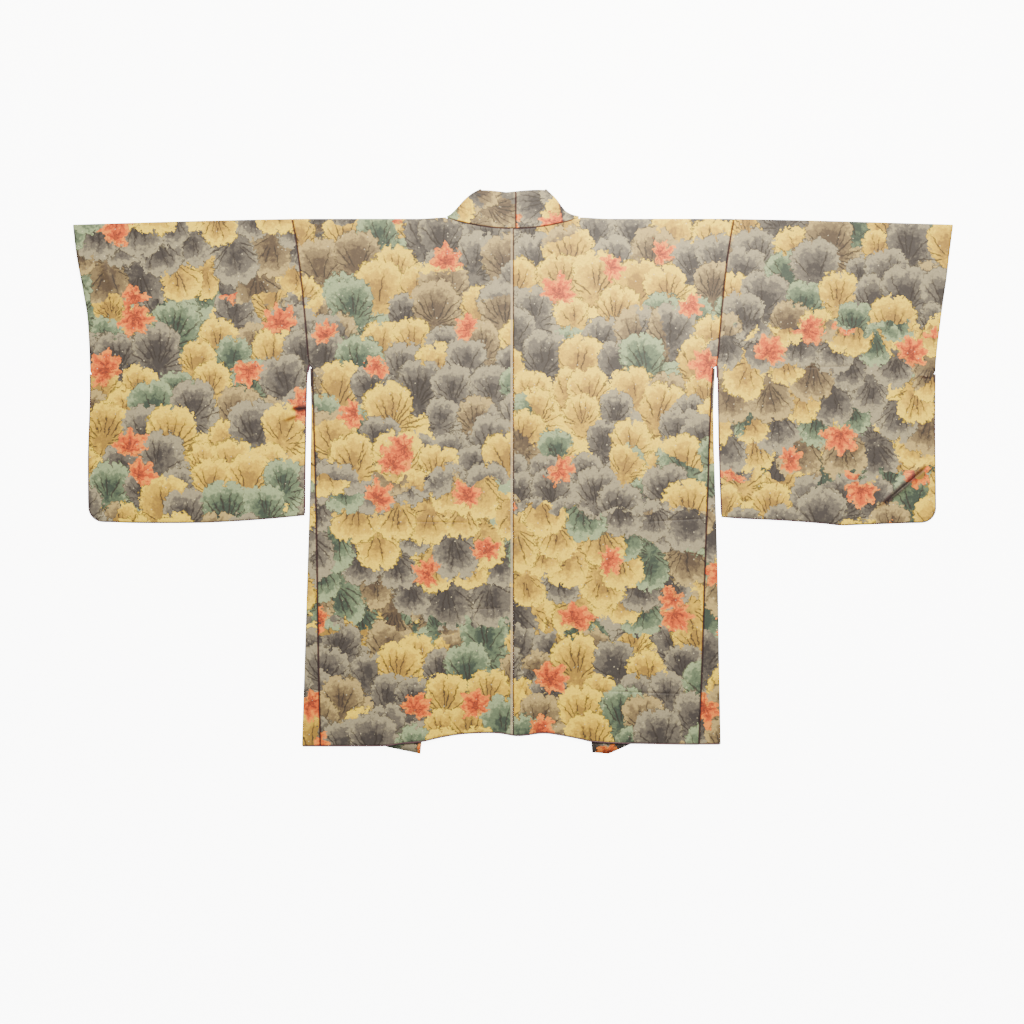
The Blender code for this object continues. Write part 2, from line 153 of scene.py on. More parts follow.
# The solids' folds
LARGE_FOLDS = (
    # x, y, direction in degrees, length, width, height
    (0.572, -0.385, 38, 0.130, 0.014, 0.0011),
    (0.590, -0.232, -4, 0.080, 0.012, 0.0007),
    (-0.315, -0.272, 12, 0.050, 0.012, 0.0009),
    (0.018, -0.665, 62, 0.110, 0.014, 0.0010),
    (0.160, -0.690, 1, 0.260, 0.012, 0.0005),
    (-0.070, -0.438, 1, 0.250, 0.012, 0.0005),
    (-0.180, -0.560, 84, 0.260, 0.040, 0.0006),
    (0.200, -0.470, 97, 0.300, 0.045, 0.0006),
    (-0.450, -0.210, 70, 0.260, 0.050, 0.0007),
    (0.440, -0.180, 110, 0.260, 0.050, 0.0007),
)
RIPPLES = (
    # cycles per metre along x, along y, phase, height
    (2.9, 1.7, 0.6, 0.00020),
    (-4.6, 3.9, 2.1, 0.00014),
    (7.3, -5.8, 4.0, 0.00008),
)

# Soft creases and puckers of the silk
CREASES = (
    # x, y, direction in degrees, length, width to its left, width to its right, height
    (0.612, -0.242, 70, 0.045, 0.007, 0.006, 0.0007),
    (0.560, -0.300, 62, 0.110, 0.014, 0.009, 0.0009),
    (0.500, -0.330, 40, 0.120, 0.016, 0.010, 0.0008),
    (0.430, -0.330, 96, 0.160, 0.018, 0.012, 0.0007),
    (0.350, -0.405, -14, 0.080, 0.010, 0.007, 0.0008),
    (0.380, -0.060, 82, 0.100, 0.012, 0.010, 0.0007),
    (0.520, -0.080, 64, 0.120, 0.012, 0.018, 0.0008),
    (0.595, -0.140, 80, 0.130, 0.014, 0.010, 0.0008),
    (-0.330, -0.300, 60, 0.070, 0.010, 0.008, 0.0009),
    (-0.345, -0.240, 128, 0.070, 0.010, 0.008, 0.0008),
    (-0.595, -0.070, -66, 0.120, 0.012, 0.008, 0.0010),
    (-0.560, -0.330, 78, 0.130, 0.011, 0.014, 0.0008),
    (-0.480, -0.120, 103, 0.150, 0.016, 0.012, 0.0008),
    (-0.400, -0.400, 8, 0.100, 0.010, 0.007, 0.0007),
    (-0.215, -0.130, 80, 0.150, 0.016, 0.010, 0.0008),
    (-0.120, -0.250, 97, 0.180, 0.016, 0.012, 0.0007),
    (0.120, -0.300, 86, 0.240, 0.020, 0.012, 0.0007),
    (0.215, -0.180, 102, 0.140, 0.014, 0.010, 0.0007),
    (-0.090, -0.650, 100, 0.140, 0.016, 0.009, 0.0008),
    (-0.240, -0.520, 88, 0.200, 0.012, 0.010, 0.0007),
    (0.255, -0.610, 93, 0.190, 0.014, 0.010, 0.0008),
    (0.090, -0.560, 80, 0.170, 0.014, 0.012, 0.0007),
    (0.060, -0.690, 42, 0.060, 0.008, 0.010, 0.0009),
    (-0.050, -0.055, 12, 0.070, 0.009, 0.007, 0.0006),
    (0.070, -0.050, -16, 0.060, 0.009, 0.007, 0.0006),
)
# Sharp creases, for which the cloth's grid is refined
SHARP_CREASES = (
    # x, y, direction in degrees, length, width to its left, width to its right, height, painted shade
    (0.566, -0.386, 41, 0.124, 0.012, 0.0036, 0.0024, 0.64),
    (0.576, -0.384, 39, 0.110, 0.0026, 0.0090, 0.0014, 0.16),
    (0.606, -0.229, -6, 0.042, 0.0080, 0.0026, 0.0015, 0.40),
    (-0.308, -0.2735, 5, 0.036, 0.0100, 0.0028, 0.0026, 0.80),
    (-0.323, -0.2880, 22, 0.030, 0.0060, 0.0030, 0.0012, 0.34),
    (0.016, -0.668, 68, 0.074, 0.0080, 0.0028, 0.0019, 0.12),
    (0.240, -0.437, 3, 0.130, 0.0026, 0.0030, -0.0007, 0.14),
    (0.290, -0.429, -2, 0.040, 0.0030, 0.0026, 0.0007, 0.10),
    (-0.110, -0.440, -1, 0.130, 0.0026, 0.0030, -0.0007, 0.14),
    (-0.040, -0.566, 2, 0.070, 0.0026, 0.0030, -0.0006, 0.12),
    (0.190, -0.688, -2, 0.180, 0.0030, 0.0026, -0.0007, 0.15),
    (-0.470, -0.300, -3, 0.120, 0.0026, 0.0030, -0.0006, 0.10),
    (0.450, -0.215, 2, 0.140, 0.0030, 0.0026, -0.0006, 0.10),
)
SHARP_REACH = 0.0045
SHARP_CUTS = 3
SHADE_SPREAD = 2.4  # width of a sharp crease's shade, by the width of its steep side
FAINTEST_SHADE = 0.02
PUCKERS = (
    # cycles per metre along x, along y, phase, height
    (17.0, 6.0, 1.1, 0.00008),
    (-9.0, 21.0, 2.9, 0.00007),
    (26.0, -19.0, 0.4, 0.00004),
)

# Where some forms start and over what width they grow to the full, as grown() takes them; the
# distances that run inwards or upwards are below 0
NECK_RISE = (-0.140, 0.043)
RIDGE_AT_FREE_EDGE = (-0.018, 0.016)
RIDGE_AT_SEWN_EDGE = (-0.022, 0.020)
SAG_ACROSS = (0.020, 0.045)
SAG_ALONG = (0.05, 0.25)
NECK_LEVEL_ACROSS = (-0.115, 0.03)
NECK_LEVEL_ALONG = (-0.10, 0.05)
RELIEF_BELOW_SHOULDER = (0.004, 0.03)
RELIEF_FROM_CUFF = (0.025, 0.02)
RELIEF_ABOVE_SLEEVE_HEM = (-0.437, 0.02)
FRONT_BELOW_SHOULDER = (0.0, 0.03)

# A sewn edge turns down into its seam, past a low lip, and the seam gets painted shade
SEAM_DEPTH = 0.0008
SEAM_REACH = 0.0013
SEAM_LOWEST = 0.0011
SEAM_INFLUENCE = 0.02
LIP_PLACE = 0.0030
LIP_WIDTH = 0.0013
LIP_HEIGHT = 0.0003
NECK_FADE = 0.012
SEAM_SHADE_REACH = 0.0023
SEAM_STEPS = (0.0002, 0.0005, 0.0009, 0.0013, 0.0020, 0.0030, 0.0040)
# Painted highlight on the fold ridge beside the back's centre seam: distance from it, paleness
RIDGE_HIGHLIGHT = ((0.0004, 0.0), (0.0009, 1.0), (0.0030, 1.0), (0.0040, 0.0))
RIDGE_HIGHLIGHT_AT_NECK = 0.55
SLIT_SHADOW = {"left": 0.010, "right": 0.019}  # how far a dark plum roll fills the head of the slit under each arm: painted shadow in the slit
SLIT_SHADOW_POINTS = 6

# Where the print turns round, along each piece's cloth; its leaves point up from the first turn down
PRINT_TURNS = {
    "body_left_silk": (-0.590, -0.380, 0.0, 0.5),
    "body_right_silk": (-0.600, -0.415, 0.1, 0.6),
    "sleeve_left_silk": (-0.118, 0.2),
    "sleeve_right_silk": (-0.370, -0.160, 0.2),
    "gusset_left_silk": (-0.590, -0.380),
    "gusset_right_silk": (-0.600, -0.415),
    "collar_left_silk": (0.5,),
    "collar_right_silk": (-0.5, 0.5),
}

# Where each piece's own cloth starts in the bolt's print
PRINT_STARTS = {
    "body_left_silk": (0.521, 1.248),
    "body_right_silk": (0.474, -0.015),
    "sleeve_left_silk": (0.462, 1.200),
    "sleeve_right_silk": (0.258, 0.632),
    "gusset_left_silk": (0.870, 0.240),
    "gusset_right_silk": (0.430, 0.830),
    "collar_left_silk": (0.100, -0.434),
    "collar_right_silk": (1.497, -0.550),
}

# A pleat across the collar, from the neck seam to its folded side: the cloth beyond it lies lower
PLEATS = {"collar_right_silk": ((0.0728, -0.0040), (0.0684, 0.0172))}
PLEAT_DROP = 0.0004
PLEAT_SHADE_WIDTH = 0.0009

FOLD_STEPS = 8
SLEEVE_PASSES = 5  # a sleeve's width and length depend on each other, so they are worked out in passes
SLEEVE_FIRST_X = 0.31  # rough place of the armhole seam, for the first pass
GRID_STEP = 0.0030
FLAT_STEP = 0.0120  # along the cloth that lies flat underneath

# ---- Curves and outlines --------------------------------------------------------------------


def smooth(t):
    t = np.clip(t, 0.0, 1.0)
    return t * t * (3 - 2 * t)


def grown(distance, start, width):
    """0 up to the start, and from there smoothly to 1 over the width."""
    return smooth((distance - start) / width)


def between(a, b, t):
    return a + (b - a) * t


def along(rows, at, column=1):
    """A smooth curve through a table's rows, read at the first column's values."""
    table = np.array(rows, dtype=float)
    places, values = table[:, 0], table[:, column]
    at = np.clip(at, places[0], places[-1])
    i = np.clip(np.searchsorted(places, at, side="left"), 1, len(places) - 1)
    before, after = np.maximum(i - 2, 0), np.minimum(i + 1, len(places) - 1)
    span = places[i] - places[i - 1]
    t = (at - places[i - 1]) / span
    slope_left = (values[i] - values[before]) / (places[i] - places[before]) * span
    slope_right = (values[after] - values[i - 1]) / (places[after] - places[i - 1]) * span
    return (
        (2 * t**3 - 3 * t**2 + 1) * values[i - 1]
        + (t**3 - 2 * t**2 + t) * slope_left
        + (3 * t**2 - 2 * t**3) * values[i]
        + (t**3 - t**2) * slope_right
    )


def side_sign(side):
    return -1 if side == "left" else 1


def shoulder_y(distance):
    near_neck = grown(-distance, *NECK_RISE)
    drop = np.maximum(0.0, distance - SHOULDER_DROP_FROM) / (SLEEVE_TIP_X - SHOULDER_DROP_FROM)
    level = SHOULDER_Y + (NECK_POINT_Y - SHOULDER_Y) * near_neck
    return level - SLEEVE_TIP_DROP * drop**SHOULDER_DROP_CURVE


def neckline_y(x):
    return -NECKLINE_DEPTH + (NECK_POINT_Y + NECKLINE_DEPTH) * (x / NECK_POINT_X) ** 2


def body_side_x(side, y):
    armhole = along(ARMHOLE_SEAM, -y)
    return np.where(-y <= SLEEVE_ATTACH, armhole, np.minimum(armhole, along(BODY_SIDE[side], -y)))


def collar_top_y(x):
    corner_x, corner_y = COLLAR_CORNER
    dip_x, dip_y = COLLAR_DIP
    return np.interp(x, (-corner_x, dip_x, corner_x), (corner_y, dip_y, corner_y))


def band_edge_x(side, y, edge):
    """Distance from the centre of the band's sewn (0) or free (1) edge under the back panel."""
    start_x, start_y = ((NECK_POINT_X, NECK_POINT_Y), COLLAR_CORNER)[edge]
    _, end_x, end_y = BAND_END[side][-edge]
    return between(start_x, end_x, (start_y - y) / (start_y - end_y))


# ---- Relief ---------------------------------------------------------------------------------


def crease_place(crease, x, y):
    """Distances along a crease and across it to its left, from its middle."""
    centre_x, centre_y, direction = crease[:3]
    angle = math.radians(direction)
    dx, dy = x - centre_x, y - centre_y
    return dx * math.cos(angle) + dy * math.sin(angle), dy * math.cos(angle) - dx * math.sin(angle)


def crease_profile(length, run, across, left, right):
    """1 along a crease, fading out at its ends and over its width to either side."""
    fade = smooth(1.3 * (1 - abs(run) / (length / 2)))
    return fade * np.exp(-((2 * across / np.where(across > 0, left, right)) ** 2))


def crease_height(table, x, y):
    """Height of folds that run straight, some steeper on one side."""
    total = 0.0
    for crease in table:
        _, _, _, length, *widths, height = crease
        profile = crease_profile(length, *crease_place(crease, x, y), widths[0], widths[-1])
        total = total + height * profile
    return total


def wave_height(table, x, y):
    return sum(
        height * np.sin(2 * math.pi * (along_x * x + along_y * y) + phase)
        for along_x, along_y, phase, height in table
    )


def over_bands(x, y):
    """The back panel rides over the collar bands and sinks between them."""
    relief = 0.0
    for side in ("left", "right"):
        here = (x < 0) if side == "left" else (x >= 0)
        free, sewn = band_edge_x(side, y, 1), band_edge_x(side, y, 0)
        ridge = grown(abs(x) - free, *RIDGE_AT_FREE_EDGE) * grown(sewn - abs(x), *RIDGE_AT_SEWN_EDGE)
        sag = grown(free - abs(x), *SAG_ACROSS) * grown(-y, *SAG_ALONG)
        relief = relief + np.where(here, BAND_RIDGE * ridge - TROUGH * sag, 0.0)
    return relief


def upper_z(x, y):
    relief = wave_height(RIPPLES, x, y) + crease_height(LARGE_FOLDS, x, y) + over_bands(x, y)
    near_neck = grown(-abs(x), *NECK_LEVEL_ACROSS) * grown(y, *NECK_LEVEL_ALONG)
    return UPPER_MID + between(relief, BAND_RIDGE, near_neck)


def fine_relief(x, y):
    return crease_height(CREASES, x, y) + wave_height(PUCKERS, x, y)


def seam_relief(distance):
    lip = LIP_HEIGHT * np.exp(-(((distance - LIP_PLACE) / LIP_WIDTH) ** 2))
    return lip - SEAM_DEPTH * (1 - smooth(distance / SEAM_REACH))


def fold_inset(x, y, lower_mid=LOWER_MID, wall=WALL):
    return (upper_z(x, y) - lower_mid) / 2 + wall / 2


def fold_start_y(x, sign):
    return shoulder_y(x) - fold_inset(sign * x, shoulder_y(x))


# ---- Cloth patches --------------------------------------------------------------------------


def steps(length, step=GRID_STEP):
    return max(2, round(length / step))


def shares(length, from_seam=False, to_seam=False, step=GRID_STEP):
    """Shares of a length from 0 to 1, a grid step apart but closer together beside a seam."""
    places = list(np.linspace(0, 1, steps(length, step) + 1))
    beside = [place / length for place in SEAM_STEPS]
    if from_seam:
        places = [0.0] + beside + [p for p in places if p > beside[-1] * 1.3]
    if to_seam:
        places = [p for p in places if p < 1 - beside[-1] * 1.3] + [1 - p for p in reversed(beside)] + [1.0]
    return np.array(places)


def patch(x, y, z, u, v, from_seam=1.0, creased=0.0, pale=0.0):
    """A grid of points in metres, with its cloth coordinates, its painted shade (or, below 0, painted
    highlight) there, and the share of the sharp creases that it takes."""
    x, y, z, u, v, from_seam, creased, pale = np.broadcast_arrays(x, y, z, u, v, from_seam, creased, pale)
    z = np.where(from_seam < SEAM_INFLUENCE, np.maximum(z + seam_relief(from_seam), SEAM_LOWEST), z)
    # Painted shade along the seams; painted highlight where pale is given
    shade = np.where(pale > 0, -pale, 1 - smooth(from_seam / SEAM_SHADE_REACH))
    return np.stack([x, y - MIDDLE_Y, z], axis=-1), np.stack([u, v], axis=-1), shade, creased


def turned_edge(upper, lower, outward, uv_upper, uv_along):
    """A half-round fold from an upper edge to a lower one; uv_along is the way on in the cloth."""
    angles = np.linspace(0, math.pi, FOLD_STEPS + 1)[:, None]
    radius = (upper[:, 2] - lower[:, 2]) / 2
    points = np.empty((FOLD_STEPS + 1, len(upper), 3))
    reach = radius * np.sin(angles)
    points[..., 0] = upper[:, 0] + outward[:, 0] * reach
    points[..., 1] = upper[:, 1] + outward[:, 1] * reach
    points[..., 2] = lower[:, 2] + radius * (1 + np.cos(angles))
    points[0], points[-1] = upper, lower
    coordinates = uv_upper[None] + (radius * angles)[..., None] * uv_along[None]
    return points, coordinates, np.zeros(reach.shape), np.zeros(reach.shape)


def outline_normals(path, turn):
    """Unit normals of a line of points in the plane, to its left for turn 1."""
    step = np.gradient(path[:, :2], axis=0)
    step /= np.linalg.norm(step, axis=1, keepdims=True)
    return np.stack([-step[:, 1] * turn, step[:, 0] * turn], axis=1)


def print_turn(name, v):
    """Distance along the cloth to where the print turns round: above 0 where its leaves point up."""
    turns = np.array(PRINT_TURNS[name])
    nearest = np.abs(v[:, None] - turns).min(axis=1)
    passed = (v[:, None] > turns).sum(axis=1)
    return np.where(passed % 2 == 0, nearest, -nearest)


def add_sharp_creases(bm, share_layer, shade_layer):
    """Refines the faces along the sharp creases, lifts their points and paints shade on their steep sides.
    """
    faces = [f for f in bm.faces if f.verts[0][share_layer] > 0 and f.verts[2][share_layer] > 0]
    if not faces:
        return
    x, y, _ = np.array([face.verts[0].co for face in faces]).T
    near = np.zeros(len(faces), dtype=bool)
    for crease in SHARP_CREASES:
        _, _, _, length, *_ = crease
        run, across = crease_place(crease, x, y + MIDDLE_Y)
        near |= (abs(run) < length / 2 + GRID_STEP) & (abs(across) < SHARP_REACH)
    edges = {edge for face, is_near in zip(faces, near) if is_near for edge in face.edges}
    bmesh.ops.subdivide_edges(bm, edges=list(edges), cuts=SHARP_CUTS, use_grid_fill=True)
    x, y, _ = np.array([vert.co for vert in bm.verts]).T
    heights, shades = np.zeros(len(x)), np.zeros(len(x))
    for crease in SHARP_CREASES:
        _, _, _, length, left, right, height, shade = crease
        run, across = crease_place(crease, x, y + MIDDLE_Y)
        heights += height * crease_profile(length, run, across, left, right)
        # The painted shade sits on the crease's steep side, where its shadow falls
        foot = min(left, right) / 2 * np.sign(right - left) * np.sign(height)
        spread = min(left, right) * SHADE_SPREAD
        shades = np.maximum(shades, shade * crease_profile(length, run, across - foot, spread, spread))
    for vert, height, shade in zip(bm.verts, heights, shades):
        vert.co.z += vert[share_layer] * height
        if shade > FAINTEST_SHADE:
            vert[shade_layer] = max(vert[shade_layer], vert[share_layer] * shade)


def add_pleat(bm, line, shade_layer):
    """Drops the upper cloth beyond a pleat, paints shade along it, and keeps its distance from the pleat
    for the print.
    """
    pleat_layer = bm.verts.layers.float.new("pleat")
    (start_x, start_y), (end_x, end_y) = line
    length = math.hypot(end_x - start_x, end_y - start_y)
    across_x, across_y = (end_y - start_y) / length, (start_x - end_x) / length
    for vert in bm.verts:
        x, y, z = vert.co
        beyond = (x - start_x) * across_x + (y + MIDDLE_Y - start_y) * across_y
        if z > UPPER_MID:
            vert[pleat_layer] = beyond
            vert.co.z -= PLEAT_DROP * smooth(beyond / PLEAT_SHADE_WIDTH)
            # painted shade along the pleat
            pleat_shade = math.exp(-((beyond / PLEAT_SHADE_WIDTH) ** 2))
            vert[shade_layer] = max(vert[shade_layer], pleat_shade)


def cloth_piece(name, patches, thickness, materials):
    """Joins patches into one surface and gives it a wall: print outside, lining inside."""
    bm = bmesh.new()
    layer = bm.loops.layers.uv.new("cloth")
    turn_layer = bm.verts.layers.float.new("print_turn")
    shade_layer = bm.verts.layers.float.new("shade")
    share_layer = bm.verts.layers.float.new("creased")
    for points, coordinates, shades, creased in patches:
        rows, columns = points.shape[:2]
        verts = [bm.verts.new(p) for p in points.reshape(-1, 3)]
        flat = coordinates.reshape(-1, 2)
        values = zip(verts, print_turn(name, flat[:, 1]), shades.ravel(), creased.ravel())
        for vert, turn, shade, share in values:
            vert[turn_layer] = turn
            vert[shade_layer] = shade
            vert[share_layer] = share
        flat = flat + np.array(PRINT_STARTS[name])
        for r in range(rows - 1):
            for c in range(columns - 1):
                corner = r * columns + c
                ring = (corner, corner + 1, corner + columns + 1, corner + columns)
                face = bm.faces.new([verts[k] for k in ring])
                for loop, k in zip(face.loops, ring):
                    loop[layer].uv = flat[k]
    bmesh.ops.remove_doubles(bm, verts=bm.verts, dist=1e-6)
    add_sharp_creases(bm, share_layer, shade_layer)
    bm.verts.layers.float.remove(share_layer)
    if name in PLEATS:
        add_pleat(bm, PLEATS[name], shade_layer)
    bmesh.ops.recalc_face_normals(bm, faces=bm.faces)
    bm.faces.ensure_lookup_table()
    if bm.faces[0].normal.z < 0:
        bmesh.ops.reverse_faces(bm, faces=bm.faces)
    for face in bm.faces:
        face.smooth = True
    mesh = bpy.data.meshes.new(name)
    bm.to_mesh(mesh)
    bm.free()
    for material in materials:
        mesh.materials.append(material)
    piece = bpy.data.objects.new(name, mesh)
    bpy.context.scene.collection.objects.link(piece)
    wall = piece.modifiers.new("cloth wall", "SOLIDIFY")
    wall.thickness = thickness
    wall.offset = 0
    wall.use_even_offset = True
    wall.use_quality_normals = True
    wall.material_offset = 1
    wall.material_offset_rim = 1
    return piece


# ---- Pieces of the jacket -------------------------------------------------------------------


def row_heights(top_y, end_y, upper_shares, lower_shares):
    """Row heights for columns with these top and end heights, close together at the gusset's top."""
    end_y = np.broadcast_to(end_y, np.shape(top_y))
    upper = between(top_y, -SLEEVE_ATTACH, upper_shares[:, None])
    lower = between(-GUSSET_TOP, end_y, lower_shares[:, None])
    return np.concatenate([upper, lower])


def back_hem_y(side, distance):
    return -along(BACK_HEM[side], distance) + WALL / 2


def body_patches(side):
    sign = side_sign(side)
    shoulder_end = along(ARMHOLE_SEAM, 0)
    shoulder_shares = shares(shoulder_end - NECK_POINT_X, from_seam=True)
    shoulder = between(shoulder_end, NECK_POINT_X, shoulder_shares)
    neck = NECK_POINT_X * (1 - shares(NECK_POINT_X, to_seam=True)[1:])
    x_top = np.concatenate([shoulder, neck])
    on_shoulder = len(shoulder)
    top_y = np.concatenate([fold_start_y(shoulder, sign), neckline_y(neck) - SEAM_GAP])
    hem_end = BODY_SIDE[side][-1][1]
    hem_y = back_hem_y(side, x_top / shoulder_end * hem_end)
    upper_shares, lower_shares = shares(SLEEVE_ATTACH, from_seam=True), shares(GUSSET_LENGTH)

    y = row_heights(top_y, hem_y, upper_shares, lower_shares)
    narrowing = between(1, body_side_x(side, y) / shoulder_end, smooth(x_top / NECK_POINT_X))
    x = np.maximum(x_top * narrowing, SEAM_GAP / 2)
    calm = grown(-y, *RELIEF_BELOW_SHOULDER)
    z = upper_z(sign * x, y) + fine_relief(sign * x, y) * calm
    from_neck = neckline_y(x) - y + NECK_FADE * grown(x, NECK_POINT_X - NECK_FADE, NECK_FADE)
    from_seam = np.minimum(np.minimum(x, body_side_x(side, y) - x), from_neck)
    pale = 0.0
    # Painted highlight on the fold ridge beside the centre seam, fainter towards the neck
    if side == "left":
        strength = between(RIDGE_HIGHLIGHT_AT_NECK, 1, smooth(-y / SLEEVE_ATTACH))
        pale = np.interp(x, *np.transpose(RIDGE_HIGHLIGHT)) * strength
    back = patch(sign * x, y, z, sign * x, y, from_seam, calm, pale)

    lengths = (SLEEVE_ATTACH, GUSSET_LENGTH)
    upper_shares, lower_shares = (shares(length, step=FLAT_STEP) for length in lengths)
    y = row_heights(top_y[:on_shoulder], FRONT_HEM_Y, upper_shares, lower_shares)
    inner = band_edge_x(side, y, 0) + SEAM_GAP
    front_x = between(body_side_x(side, y), inner, shoulder_shares)
    blend = grown(top_y[:on_shoulder] - y, *FRONT_BELOW_SHOULDER)
    front_x = between(x[0, :on_shoulder], front_x, blend)
    fold_length = math.pi * (back[0][0, :on_shoulder, 2] - LOWER_MID) / 2
    front_v = 2 * top_y[:on_shoulder] - y + fold_length
    front = patch(sign * front_x, y, LOWER_MID, sign * front_x, front_v)

    up = np.tile([0.0, 1.0], (on_shoulder, 1))
    fold = turned_edge(back[0][0, :on_shoulder], front[0][0], up, back[1][0, :on_shoulder], up)
    return [back, front, fold], [back[0][-1]]


def sleeve_patches(side):
    sign = side_sign(side)
    across = shares(SLEEVE_WIDTH, from_seam=True)[None, :]
    last = across.shape[1] - 1
    arm_rows, low_rows = steps(SLEEVE_ATTACH), steps(SLEEVE_BELOW_CUFF)
    open_rows = arm_rows + CUFF_ROWS
    rows = open_rows + low_rows
    v = np.arange(rows + 1)[:, None]
    seamed = v >= open_rows

    def inner_x(y):
        attached, free = along(ARMHOLE_SEAM, -y), along(SLEEVE_INNER[side], -y)
        return np.where(-y <= SLEEVE_ATTACH, attached, free) + SEAM_GAP

    def row_y(x):
        low = -along(SLEEVE_LOWER[side], x)
        low = low + fold_inset(sign * x, low)
        upper = between(fold_start_y(x, sign), -SLEEVE_ATTACH, v / arm_rows)
        cuff = between(-SLEEVE_ATTACH, -CUFF_OPENING, (v - arm_rows) / CUFF_ROWS)
        lower = between(-CUFF_OPENING, low, (v - open_rows) / low_rows)
        return np.where(v <= arm_rows, upper, np.where(seamed, lower, cuff)), low

    x = between(SLEEVE_FIRST_X, SLEEVE_TIP_X, across) + 0 * v
    for _ in range(SLEEVE_PASSES):
        y, low = row_y(x)
        edge = along(SLEEVE_OUTER[side], -y)
        inset = np.where(seamed, fold_inset(sign * edge, y), 0.0)
        x = between(inner_x(y), edge - inset, across)
    y, low = row_y(x)
    from_seam = x - inner_x(y) + NECK_FADE * grown(-y, SLEEVE_ATTACH - NECK_FADE, NECK_FADE)

    radius = SLEEVE_CORNER_RADIUS - inset
    a, b = x - (edge - inset - radius), (low + radius) - y
    corner = (a > 0) & (b > 0) & seamed
    pull = np.maximum(a, b) / np.maximum(np.hypot(a, b), 1e-9)
    x = np.where(corner, edge - inset - radius + a * pull, x)
    y = np.where(corner, low + radius - b * pull, y)

    near_edges = grown(SLEEVE_TIP_X - x, *RELIEF_FROM_CUFF) * grown(y, *RELIEF_ABOVE_SLEEVE_HEM)
    calm = grown(-y, *RELIEF_BELOW_SHOULDER) * near_edges
    z = upper_z(sign * x, y) + fine_relief(sign * x, y) * calm
    upper = patch(sign * x, y, z, sign * x, y, from_seam, calm)
    fold_length = math.pi * (upper[0][0, :, 2] - LOWER_MID) / 2
    lower = patch(sign * x, y, LOWER_MID, sign * x, 2 * y[0] - y + fold_length)

    up = np.tile([0.0, 1.0], (last + 1, 1))
    shoulder = turned_edge(upper[0][0], lower[0][0], up, upper[1][0], up)

    bottom = [(rows, c) for c in range(last + 1)]
    outer = [(r, last) for r in range(rows - 1, open_rows - 1, -1)]
    ring = np.array(bottom + outer)
    top_edge, low_edge, edge_uv = (a[ring[:, 0], ring[:, 1]] for a in (upper[0], lower[0], upper[1]))
    outward = outline_normals(top_edge, -sign)
    seam = turned_edge(top_edge, low_edge, outward, edge_uv, outward)
    inner_edge = upper[0][arm_rows:, 0]
    seam_line = seam[0][FOLD_STEPS // 2] + np.pad(outward * WALL / 2, ((0, 0), (0, 1)))
    # A plum roll at the head of the slit: painted shadow in the slit
    head_y = np.linspace(-SLEEVE_ATTACH, -SLEEVE_ATTACH - SLIT_SHADOW[side], SLIT_SHADOW_POINTS)
    head_x = inner_x(head_y) - WALL
    slit_shadow = np.stack([sign * head_x, head_y - MIDDLE_Y, 0 * head_y + BAND_WALL], axis=1)
    return [upper, lower, shoulder, seam], [inner_edge, seam_line, slit_shadow]


def gusset_patches(side):
    sign = side_sign(side)
    across = shares(GUSSET_WIDTH, from_seam=True)[None, :]
    rows = steps(GUSSET_LENGTH)
    y = np.linspace(-GUSSET_TOP, back_hem_y(side, GUSSET_HEM_X), rows + 1)[:, None]
    seam = along(BODY_SIDE[side], -y, 1) + SEAM_GAP
    fold = along(BODY_SIDE[side], -y, 2)
    fold = np.maximum(fold - fold_inset(sign * fold, y), seam + GUSSET_LEAST_WIDTH)
    x = between(seam, fold, across)
    z = upper_z(sign * x, y)
    upper = patch(sign * x, y, z, sign * x, y, x - seam)
    turn = 2 * fold + math.pi * (z[:, -1:] - LOWER_MID) / 2
    lower = patch(sign * x, y, LOWER_MID, sign * (turn - x), y)
    out = np.tile([float(sign), 0.0], (rows + 1, 1))
    edge = turned_edge(upper[0][:, -1], lower[0][:, -1], out, upper[1][:, -1], out)
    return [upper, lower, edge], [upper[0][-1]]


